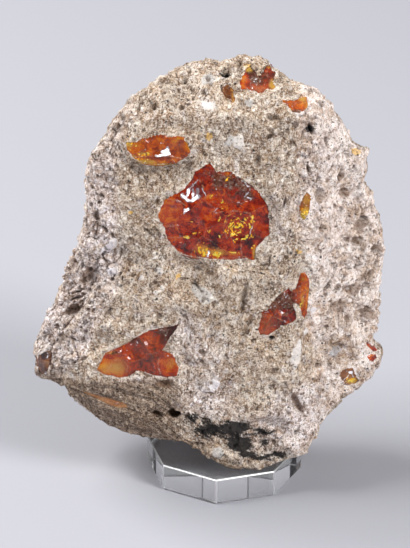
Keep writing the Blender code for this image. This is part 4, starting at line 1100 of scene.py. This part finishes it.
# Where it is honey yellow, and where it is milky.
HONEY = {
    "opal_centre": ((13.8, -12.4, 0.6, 2.0, 1.2), (-3.6, -11.2, 2.6, 1.8, 0.7),
                    (1.4, -12.2, 2.4, 1.3, 0.9), (6.4, -12.8, 3.0, 0.6, 0.4),
                    (4.6, 12.2, 0.8, 1.2, 0.6), (-3.0, -12.6, 0.4, 1.2, 1.0)),
    "opal_upper_left": ((-10.2, 2.0, 1.5, 1.2, 1.1), (-5.0, -4.0, 4.5, 0.7, 1.2), (1.5, -4.9, 5.0, 0.4, 0.8),
                        (-5.2, -1.4, 1.5, 0.8, 0.8), (-8.6, -2.4, 1.2, 1.0, 0.8)),
    "opal_top": ((-3.2, 4.5, 1.3, 1.2, 1.3), (4.9, -0.9, 1.2, 1.7, 1.3), (3.4, 5.0, 1.0, 0.8, 0.6)),
    "opal_upper_right": ((1.9, 2.4, 1.6, 1.0, 0.8), (3.1, 0.2, 0.7, 1.6, 0.5)),
    "opal_lower_left": ((-9.2, -3.6, 3.0, 2.6, 0.75), (-14.0, -3.6, 2.6, 2.0, 0.6),
                        (-11.2, 1.4, 2.4, 0.8, 0.5), (9.0, -2.0, 1.6, 3.0, 0.4)),
    "opal_blade": ((-0.2, 5.6, 1.0, 0.8, 0.5), (-0.3, -1.6, 0.6, 2.2, 0.9), (1.1, 2.0, 0.4, 3.0, 0.4)),
    "opal_lower_right": ((1.0, -1.5, 1.8, 0.9, 1.2),),
    "opal_yellow": ((0.2, -2.8, 1.2, 2.2, 0.8), (0.4, 2.0, 1.4, 2.6, 0.5)),
}
MILK = {
    "opal_lower_left": ((0.0, 0.0, 12.0, 9.0, 0.35), (2.5, 6.0, 3.4, 2.6, 0.3), (-9.4, -3.8, 3.2, 2.4, 0.7)),
    "opal_lower_right": ((0.0, 0.5, 3.0, 3.0, 0.9),),
    "opal_right_lens": ((-4.0, -2.4, 3.0, 3.0, 0.7), (-4.6, -5.6, 3.0, 1.4, 0.3)),
    "opal_top": ((0.2, -2.4, 3.0, 1.3, 0.7), (0.0, 0.0, 7.0, 6.0, 0.3)),
    "opal_upper_right": ((2.2, 2.2, 1.6, 1.4, 0.7), (0.0, 0.0, 4.0, 3.0, 0.2)),
    "opal_centre": ((-14.6, 0.6, 3.6, 4.6, 0.2), (6.0, 5.0, 3.0, 1.4, 0.3)),
    "opal_upper_left": ((0.0, 1.0, 8.0, 3.4, 0.2), (7.5, -0.5, 2.5, 3.0, 0.25)),
}
# Thin pale lines, painted highlights where a fracture's edge catches the light, as runs of points.
LINES = {
    "opal_centre": (
        ((0.7, 1.1), (3.0, 1.6), (8.5, 1.7), (12.2, 1.0), (13.4, -1.9), (12.4, -5.6)),
        ((-4.9, 12.4), (-3.4, 9.6), (-2.6, 6.8), (-4.6, 3.8)), ((-16.6, -3.5), (-12.0, -3.2)),
        ((-15.7, -7.1), (-10.4, -7.2)), ((9.3, -8.0), (9.4, -13.6)),
        ((-15.6, 5.8), (-12.6, 5.4), (-9.4, 3.6)),
        ((-15.9, -8.0), (-12.4, -11.4), (-8.8, -13.3), (-4.8, -14.1), (1.6, -14.4), (7.2, -14.0)),
        ((-7.6, -13.0), (-6.8, -11.0), (-4.6, -8.4)), ((7.0, -13.9), (10.6, -13.6), (13.2, -15.0)),
        ((-2.2, 4.4), (0.6, 5.0), (2.6, 3.0)), ((4.8, -1.4), (3.2, -3.8), (4.6, -7.6))),
    "opal_lower_left": (
        ((-12.9, -5.0), (-10.7, -1.6), (-9.3, -0.8), (-7.0, -1.3), (-5.8, -3.0), (-6.0, -5.2)),
        ((4.8, -0.6), (4.4, -3.6), (5.4, -5.4))),
    "opal_upper_left": (((-7.5, -2.4), (-2.0, -2.0), (4.0, -2.2), (8.0, -2.8)),),
    "opal_right_lens": (((-6.0, 0.9), (-1.0, -0.4), (3.0, -2.2)),),
}
# Small flat facets that mirror the light, each a figure of bars in one plane and painted white as a
# painted highlight: how ribbed it is, then x, y, half length, half width and turn in degrees of each bar.
GLINTS = {
    "opal_centre": (
        (0.0, (-9.5, 6.2, 2.1, 0.75, -45), (-6.3, 5.9, 2.1, 0.68, 32), (-8.6, 8.0, 1.7, 0.50, 76),
         (-7.0, 7.6, 1.8, 0.42, 84), (-5.5, 8.0, 1.6, 0.60, 82)),
        (0.0, (-9.2, 1.7, 1.7, 0.32, 48), (-9.0, 2.1, 1.1, 0.32, 4), (-8.7, 2.4, 0.6, 0.5, 45)),
        (0.0, (-7.4, 10.2, 1.2, 0.12, 55)), (0.0, (-6.6, 10.8, 1.2, 0.12, 58)),
        (0.0, (-5.8, 11.5, 1.0, 0.12, 60)), (0.0, (-3.2, 8.2, 1.8, 0.14, -62)),
        (0.0, (-1.9, -12.8, 1.3, 0.35, 72)), (0.4, (10.8, 7.0, 0.7, 0.14, 65)),
        (0.4, (11.9, 6.2, 0.8, 0.14, -20)), (0.4, (12.6, 5.4, 0.6, 0.12, 50)),
        (0.4, (11.4, 7.6, 0.7, 0.10, 70)), (0.4, (11.3, 5.0, 0.5, 0.12, 30)),
        (0.0, (9.6, 12.0, 0.5, 0.08, -30)), (0.0, (10.6, 11.2, 0.6, 0.09, -50)),
        (0.0, (11.4, 10.0, 0.6, 0.10, -55)), (0.0, (12.3, 8.9, 0.5, 0.09, -60)),
        (0.0, (8.4, 4.6, 0.6, 0.09, 20)), (0.0, (12.7, -4.6, 1.7, 0.16, 75)),
        (0.0, (0.8, 2.0, 1.2, 0.10, 44))),
    "opal_upper_left": ((0.0, (2.6, -0.9, 1.5, 1.3, 30), (0.8, -1.9, 2.0, 0.45, 6), (3.2, 0.3, 0.6, 1.0, 20)),
                        (0.0, (1.0, 2.2, 0.25, 0.2, 30))),
    "opal_lower_left": ((0.0, (-2.6, 5.0, 0.34, 0.16, 100)), (0.0, (-4.6, 4.2, 0.24, 0.16, 20)),
                        (0.0, (-2.9, 4.0, 0.20, 0.14, 0)), (0.0, (7.4, 0.4, 0.6, 0.10, -5)),
                        (0.0, (-8.9, 1.4, 0.22, 0.12, -30)), (0.0, (-6.2, 2.4, 0.2, 0.12, 50))),
    "opal_right_lens": (
        (0.0, (-4.2, 1.3, 0.8, 0.09, 10)), (0.4, (0.0, 4.6, 0.4, 0.10, 50)), (0.4, (1.0, 5.8, 0.4, 0.10, 60)),
        (0.0, (1.8, 4.4, 0.3, 0.10, 20)), (0.4, (2.7, 6.6, 0.4, 0.12, 80)), (0.0, (-1.2, 3.4, 0.3, 0.10, 40)),
        (0.0, (2.2, 7.8, 0.3, 0.10, 60)), (0.0, (-2.6, 2.9, 0.3, 0.09, 30)), (0.0, (3.8, 8.2, 0.3, 0.12, 0))),
    "opal_top": ((0.3, (-0.6, 1.0, 0.3, 0.16, 20)), (0.0, (-1.5, 0.3, 0.3, 0.12, -30)),
                 (0.0, (0.6, 0.2, 0.3, 0.1, 40))),
    "opal_lower_right": ((0.3, (0.6, 1.3, 0.7, 0.4, 10), (1.3, 0.4, 0.9, 0.14, -50)),
                         (0.0, (-1.0, -0.6, 1.6, 0.10, 45))),
    "opal_far_left": ((0.0, (0.6, -3.4, 0.9, 0.3, 20)), (0.0, (0.9, 1.8, 0.6, 0.16, 60))),
}
MIRROR = (-0.390, -0.165)  # slope across and up the working plane of a facet that mirrors the light


def with_glints(name, x, y, height):
    """The height, with each small facet laid in: a plane through the surface there, sloped to mirror
    the light, faded out by exp(-q) with q = ((u/long)^4 + (v/wide)^4)^2 at the sides of its bars,
    which a noise makes uneven; its ribs are a sine across it. Also returns the share of such facets."""
    facets = np.zeros_like(x)
    spots = np.stack((x, y, 0 * x), -1)
    across, up = (0.25 * noise(spots, 0.9, seed) for seed in (95, 96))
    for rib, *bars in GLINTS.get(name, ()):
        share = np.zeros_like(x)
        for x0, y0, long, wide, turn in bars:
            u, v = turned(x - x0 + across, y - y0 + up, turn)
            share = np.maximum(share, np.exp(-(((u / long) ** 4 + (v / wide) ** 4) ** 2)))
        x0, y0 = np.mean([bar[:2] for bar in bars], axis=0)
        middle = height[np.argmin(np.hypot(x - x0, y - y0))]
        plane = middle + MIRROR[0] * (x - x0) + MIRROR[1] * (y - y0)
        plane += 0.12 * rib * np.sin((x + y) * 2.6) + 0.05 * rib * np.sin((x - y) * 1.9)
        height = height + (plane - height) * share
        facets = np.maximum(facets, share)
    return height, facets


def even_turns(outline, count):
    """Angles of points that lie evenly along an outline."""
    dense = np.linspace(-math.pi, math.pi, 4001)
    edge = side_reach(outline, dense)
    step = np.hypot(np.diff(edge * np.cos(dense)), np.diff(edge * np.sin(dense)))
    length = np.concatenate(([0.0], np.cumsum(step)))
    return np.interp(np.linspace(0.0, length[-1], count, endpoint=False), length, dense)


UNDER_LAP = 0.45  # how far the glass runs on past its outline, under the lap of the rock
EDGE_SUNK = 0.55  # how far the edge, where face and back meet, lies below the even rock
FACE_SUNK = 0.2  # how far the face lies below it inside the edge, before its bulge
RIB_HEIGHT = 0.04  # of the ripples about a bowl's middle
CRUST_HEIGHT = 0.30
LINE_HEIGHT = 0.16  # of a pale line, and its half width
LINE_HALF = 0.5
GOLDEN = 0.618  # its multiples give each bowl a number of its own, spread over 0 to 1


def lens_mesh(name, nodule):
    """A nodule as rings about its centre. The face stands out by bulge (1 - r^2) less the scallops: a
    shell-like bowl about each seed, so that neighbours meet in sharp ridges, with fine ribs across.
    The back is sunk by depth sqrt(1 - r^2), roughened like the wall of its hollow."""
    side, centre, bulge, depth, outline = nodule
    _, scallop, deep, deepness, count, rings = LOOKS[name]
    away = 1.0 if side == "front" else -1.0
    turns = even_turns(outline, count)
    edge = side_reach(outline, turns) + UNDER_LAP
    r = np.linspace(0.0, 1.0, rings + 1)[1:, None] ** 0.85
    r = np.concatenate((r, r[::-1][1:]))
    facing = np.arange(len(r))[:, None] < rings
    x, y = r * edge * np.cos(turns), r * edge * np.sin(turns)
    x, y = (np.concatenate(([0.0], grid.ravel(), [0.0])) for grid in (x, y))
    r = np.concatenate(([0.0], np.repeat(r[:, 0], count), [0.0]))
    facing = np.concatenate(([True], np.repeat(facing[:, 0], count), [False]))
    base = sheet(centre[0] + x, centre[1] + y, side)
    flat = np.stack((x + centre[0], y + centre[1], 0 * x), -1)
    bent = warped(flat, scallop, 0.12 * scallop, 90)
    if name in SHELLS:
        seeds = np.array([(centre[0] + x0, centre[1] + y0, 0.0) for x0, y0 in SHELLS[name]])
        apart = np.linalg.norm(bent[:, None] - seeds, axis=2)
        order = np.sort(apart, axis=1)
        gap, ridge = order[:, 0], order[:, 1] - order[:, 0]
        number = apart.argmin(axis=1) * GOLDEN % 1.0
    else:
        gap, ridge, number = nearest_seed(bent, scallop, 71)
    bowl = deep * (1.0 - (gap / (0.6 * scallop)) ** 2)
    ribs = RIB_HEIGHT * np.sin(gap * 2 * math.pi / (0.16 * scallop + 0.5))
    crust = blobs(x, y, CRUST.get(name, ()))
    line = near_lines(x, y, LINES.get(name, ()))
    rough = np.clip(crust, 0.0, 1.0) * CRUST_HEIGHT * (noise(flat, 1.1, 91) + noise(flat, 0.6, 92))
    fade = 1.0 - r**8
    height = bulge * (1.0 - r * r) - (bowl + ribs + FACE_SUNK - rough) * fade
    height += LINE_HEIGHT * np.clip(1.0 - line / LINE_HALF, 0.0, 1.0)
    tilted, facets = with_glints(name, x, y, height * away - base)
    height = tilted * away + base * away - EDGE_SUNK * r**8
    face = base - away * height
    bubble = 0.3 * depth + 2.0
    hollow_wall, _, _ = nearest_seed(flat + 40.0, bubble, 75)
    wall = depth * 0.12 * (noise(flat, 3.0, 72) - hollow_wall / bubble)
    behind = base + away * (depth * np.sqrt(1.0 - r * r) + EDGE_SUNK + wall * fade)
    t = np.where(facing, face, behind)
    rows = len(r) - 2
    ring = 1 + np.arange(rows).reshape(-1, count)
    ring = np.concatenate((ring, ring[:, :1]), axis=1)
    squares = grid_faces(ring)
    first = np.stack((np.zeros(count, int), ring[0, :-1], ring[0, 1:]), -1)
    last = np.stack((ring[-1, :-1], np.full(count, rows + 1), ring[-1, 1:]), -1)
    flip = slice(None, None, 1 if side == "front" else -1)
    faces = [face[flip] for group in (first, squares, last) for face in group.tolist()]
    lens = add_mesh(f"{name}_glass", place(centre[0] + x, centre[1] + y, t), faces)
    # The pale lines and the borders between bowls get a painted highlight in the shader.
    border = 0.5 * np.clip(1.0 - ridge / 0.3, 0.0, 1.0)
    write_marks(lens.data, {
        "gold": blobs(x, y, PAINTED_GOLD_GLINTS.get(name, ())),
        "deep": blobs(x, y, DEEP.get(name, ())) + deepness + 0.5 * (number - 0.5),
        "ring": gap,
        "crust": crust,
        "ridge": np.maximum(np.clip(1.0 - line / 0.3, 0.0, 1.0), border),
        "glint": facets,
        "honey": blobs(x, y, HONEY.get(name, ())),
        "milk": blobs(x, y, MILK.get(name, ())),
    })
    return lens


HONEY_TONE = (0.93, 0.58, 0.09, 1.0)
MILK_TONES = ((0.52, 0.235, 0.125, 1.0), (0.66, 0.42, 0.17, 1.0))  # where it is red, and honey yellow
# Painted highlight on the ridges.
RIDGE_HIGHLIGHT_TONE = (0.92, 0.50, 0.28, 1.0)
# Painted white on the mirroring facets and sparks.
PAINTED_GLINT_WHITE = (0.97, 0.96, 1.0, 1.0)


def opal_shader(tints, gloss):
    """The opal's look: its four tints, from honey-like to deep, and how rough its bare glass is."""
    honey, orange, red, deep = tints

    def build(shade):
        """Depth of colour clouded over the face and rippled round the middles of its bowls, with
        honey and milk in it, rough crust, painted golden glints, painted highlights on the ridges
        and painted white on the mirroring facets over it."""
        mm = shade.in_mm()

        def cloud(size, detail=4.0, rough=0.6):
            """Noise of a size in mm, about 0.5."""
            return shade.node("TexNoise", None, {
                "Vector": mm, "Scale": 1.0 / size, "Detail": detail, "Roughness": rough,
                "Distortion": 0.8})

        def tint(size):
            """A number from 0 to 1 for each cell of a size in mm."""
            sockets = {"Vector": mm, "Scale": 1.0 / size}
            cells = shade.node("TexVoronoi", {"feature": "F1"}, sockets, out="Color")
            return shade.node("SeparateColor", None, {0: cells})

        ripples = shade.mark("ring") * 1.5 + (cloud(1.6, 2.0) - 0.5) * 1.6
        ripples = ripples.math("FRACT", ripples) - 0.5
        depth = (cloud(3.0) - 0.5) * 1.9 + (cloud(0.9, 3.0, 0.8) - 0.5) * 1.2 + ripples * 0.22
        depth = depth + (cloud(0.4, 3.0, 0.9) - 0.5) * 1.3
        depth = depth + 0.57 + shade.mark("deep") * 0.42
        colour = depth.ramp((0.06, honey), (0.34, orange), (0.60, red), (0.95, deep))
        yellow = ((shade.mark("honey") + (cloud(1.1) - 0.5) * 0.9 - 0.2) * 1.6).clamp()
        colour = (yellow * 0.85).mix(colour, HONEY_TONE)
        colour = (shade.mark("milk") * 0.6).clamp().mix(colour, yellow.mix(*MILK_TONES))

        crust = ((shade.mark("crust") + (cloud(1.8) - 0.5) * 1.8 - 0.35) * 2.5).clamp()
        veil = cloud(0.9, 4.0, 0.8).ramp((0.42, (0.02, 0.006, 0.004)), (0.50, (0.12, 0.030, 0.010)),
                                         (0.57, (0.28, 0.13, 0.04)), (0.67, (0.80, 0.77, 0.74)))
        colour = (crust * 0.85).mix(colour, veil)

        # Painted golden glints, standing in for light caught by cracks inside, lie along arcs about the bowls
        # and close up where they are thickest; being metallic, they also mirror the lamps.
        arcs = shade.mark("ring") * 0.95 + (cloud(2.0, 2.0) - 0.5) * 2.4
        arcs = arcs.math("FRACT", arcs) < 0.48
        gold_glint_share = shade.mark("gold")
        gold_glint_fleck = arcs * (tint(1.0) > (1.0 - gold_glint_share * 0.7)).most(gold_glint_share > 3.0)
        gold_glint_fleck = gold_glint_fleck.most(gold_glint_share + (cloud(0.7, 2.0) - 0.5) * 3.0 > 1.35)
        gold = cloud(0.5, 2.0).ramp((0.40, (1.0, 0.36, 0.01)), (0.50, (1.0, 0.74, 0.02)),
                                    (0.62, (1.0, 0.93, 0.30)))
        colour = gold_glint_fleck.mix(colour, gold)

        # Painted highlights along the ridges.
        ridge = shade.mark("ridge")
        broken = ((cloud(1.0) - 0.40) * 6.0).clamp()
        colour = (ridge * 0.8 * broken).clamp().mix(colour, RIDGE_HIGHLIGHT_TONE)
        # Painted highlights: white sparks on the ridges and crust, and the mirroring facets painted white.
        painted_sparks = (tint(0.5) > 0.955) * (ridge > 0.15).most(shade.mark("crust") > 0.5)
        painted_sparks = painted_sparks * (cloud(0.8) > 0.52)
        painted_shine = ((shade.mark("glint") + (cloud(0.45) - 0.5) * 0.9 - 0.38) * 5.0).clamp()
        painted_shine = painted_shine.most(painted_sparks * 0.7)
        colour = painted_shine.mix(colour, PAINTED_GLINT_WHITE)
        height = crust * tint(0.55) + ripples * 0.12
        normal = shade.node("Bump", None, {"Strength": 0.8, "Distance": 0.0004, "Height": height})
        return {"Base Color": colour, "Roughness": crust * 0.35 + gold_glint_fleck * 0.5 + painted_shine * 0.28 + gloss,
                "Metallic": gold_glint_fleck.most(painted_shine * 0.75), "Normal": normal}

    return build


def opal_material(kind):
    """Part milky, part clear, and light that goes in takes on the colour of ABSORB on its way."""
    made = new_material(kind, {"IOR": OPAL_INDEX, "Transmission Weight": THROUGH},
                        opal_shader(TINTS[kind], GLOSS[kind]))
    soak = Shade(made.node_tree).node("VolumeAbsorption", None, ABSORB)
    soak.put(made.node_tree.nodes["Material Output"].inputs["Volume"], soak)
    return made


OPALS = {kind: opal_material(kind) for kind in TINTS}
for name, nodule in NODULES.items():
    slot = LOOKS[name][0]
    lens = lens_mesh(name, nodule)
    lens.data.materials.append(OPALS[slot])
    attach(lens, "root")
    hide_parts(name)

# ======================================================================= the clear base
# An eight-sided slab of polished clear acrylic with chamfered rims. It stands on the shelf and
# the lump rests on it. Its solid from the frame keeps its shape and gets its finish here.
BASE_CORNER = 27.06  # from the middle of the slab to a corner, in mm
BASE_TOP = 9.5
BASE_EDGE = 0.4  # chamfer of its rims
BASE_FACE = 0.02  # what is closer than this to the top or the underside belongs to it
BASE_SIDE = 0.14  # how far in from the corners the upright edges get the painted highlight
ACRYLIC_INDEX = 1.49
POLISH = 0.015  # roughness of the polished faces
RIM_ROUGH = 0.5  # what the rims add to it
CLEAR = (0.99, 0.995, 0.995, 1.0)
PAINTED_EDGE_HIGHLIGHT = (1.0, 1.0, 1.0, 1.0)
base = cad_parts["base"]


def acrylic_shader(shade):
    """Clear, but the chamfers and the upright edges are whitened and half metallic: painted highlights along
    the rims.
    """
    mm = shade.in_mm()
    flat = mm.stretched((1.0, 1.0, 0.0))
    outward = shade.node("VectorMath", {"operation": "LENGTH"}, {0: flat}, out="Value")
    height = shade.node("SeparateXYZ", None, {0: mm}, out="Z")
    upper = (height > BASE_TOP - BASE_EDGE) * (height < BASE_TOP - BASE_FACE)
    lower = (height < BASE_EDGE) * (height > BASE_FACE)
    rim = upper.most(lower).most(outward > BASE_CORNER - BASE_SIDE)
    return {"Base Color": rim.mix(CLEAR, PAINTED_EDGE_HIGHLIGHT), "Roughness": rim * RIM_ROUGH + POLISH,
            "Metallic": rim * 0.6}


base.data.materials.clear()
base.data.materials.append(new_material(
    "clear_acrylic", {"IOR": ACRYLIC_INDEX, "Transmission Weight": 1.0}, acrylic_shader))

# ======================================================================= the stage
# A pale floor under a dim, even room. Two softboxes stand to the left, one of them behind the lump,
# and a third to the right in front. The camera looks square on at the broken face.
UNDER = -0.3  # height of the floor in mm, just under the base so that they don't coincide
FLOOR_HALF = 2500.0  # half the width of the floor, in mm
FLOOR_GREY = (0.414, 0.414, 0.452, 1.0)
corners = ((-1, -1), (1, -1), (1, 1), (-1, 1))
floor = add_mesh("floor", [(FLOOR_HALF * x, FLOOR_HALF * y, UNDER) for x, y in corners],
                 [(0, 1, 2, 3)])
floor.data.materials.append(
    new_material("pale_floor", {"Base Color": FLOOR_GREY, "Roughness": 0.8}))
AIM = Vector(MIDDLE * MM)


def softbox(name, turn, rise, away, wide, high, watts):
    """A rectangular light facing the lump, away metres from it: turn is counted to the right from
    the camera's side and rise from the floor, both in degrees at the lump."""
    turn, rise = math.radians(turn), math.radians(rise)
    level = math.cos(rise)
    toward = Vector((math.sin(turn) * level, -math.cos(turn) * level, math.sin(rise)))
    lamp = bpy.data.lights.new(name, "AREA")
    lamp.shape, lamp.size, lamp.size_y, lamp.energy = "RECTANGLE", wide, high, watts
    made = bpy.data.objects.new(name, lamp)
    made.location = AIM + away * toward
    made.rotation_euler = toward.to_track_quat("Z", "Y").to_euler()
    bpy.context.scene.collection.objects.link(made)


softbox("key_left", -84.0, 44.0, 1.8, 0.80, 0.80, 22.5)
softbox("key_behind", -121.0, 43.0, 1.8, 0.80, 0.80, 23.5)
softbox("fill_right", 53.0, 34.0, 2.0, 0.60, 0.74, 36.0)

ROOM_COLOUR = (0.95, 0.96, 1.0, 1.0)
ROOM_STRENGTH = 0.27
world = bpy.data.worlds.new("soft_room")
world.use_nodes = True
sky = world.node_tree.nodes["Background"].inputs
sky["Color"].default_value = ROOM_COLOUR
sky["Strength"].default_value = ROOM_STRENGTH
bpy.context.scene.world = world
bpy.context.scene.view_settings.view_transform = "Standard"

CAMERA_AWAY = 0.8  # metres from the middle of the lump
CAMERA_LENS = 156.0  # focal length and width of the sensor, in mm
SENSOR = 36.0
optics = bpy.data.cameras.new("camera")
optics.lens = CAMERA_LENS
optics.sensor_width = SENSOR
camera = bpy.data.objects.new("camera", optics)
look = Vector((0.0, math.cos(LEAN), -math.sin(LEAN)))
camera.matrix_world = Matrix.Translation(AIM - CAMERA_AWAY * look) @ Matrix.Rotation(
    math.pi / 2 - LEAN, 4, "X")
bpy.context.scene.collection.objects.link(camera)
bpy.context.scene.camera = camera
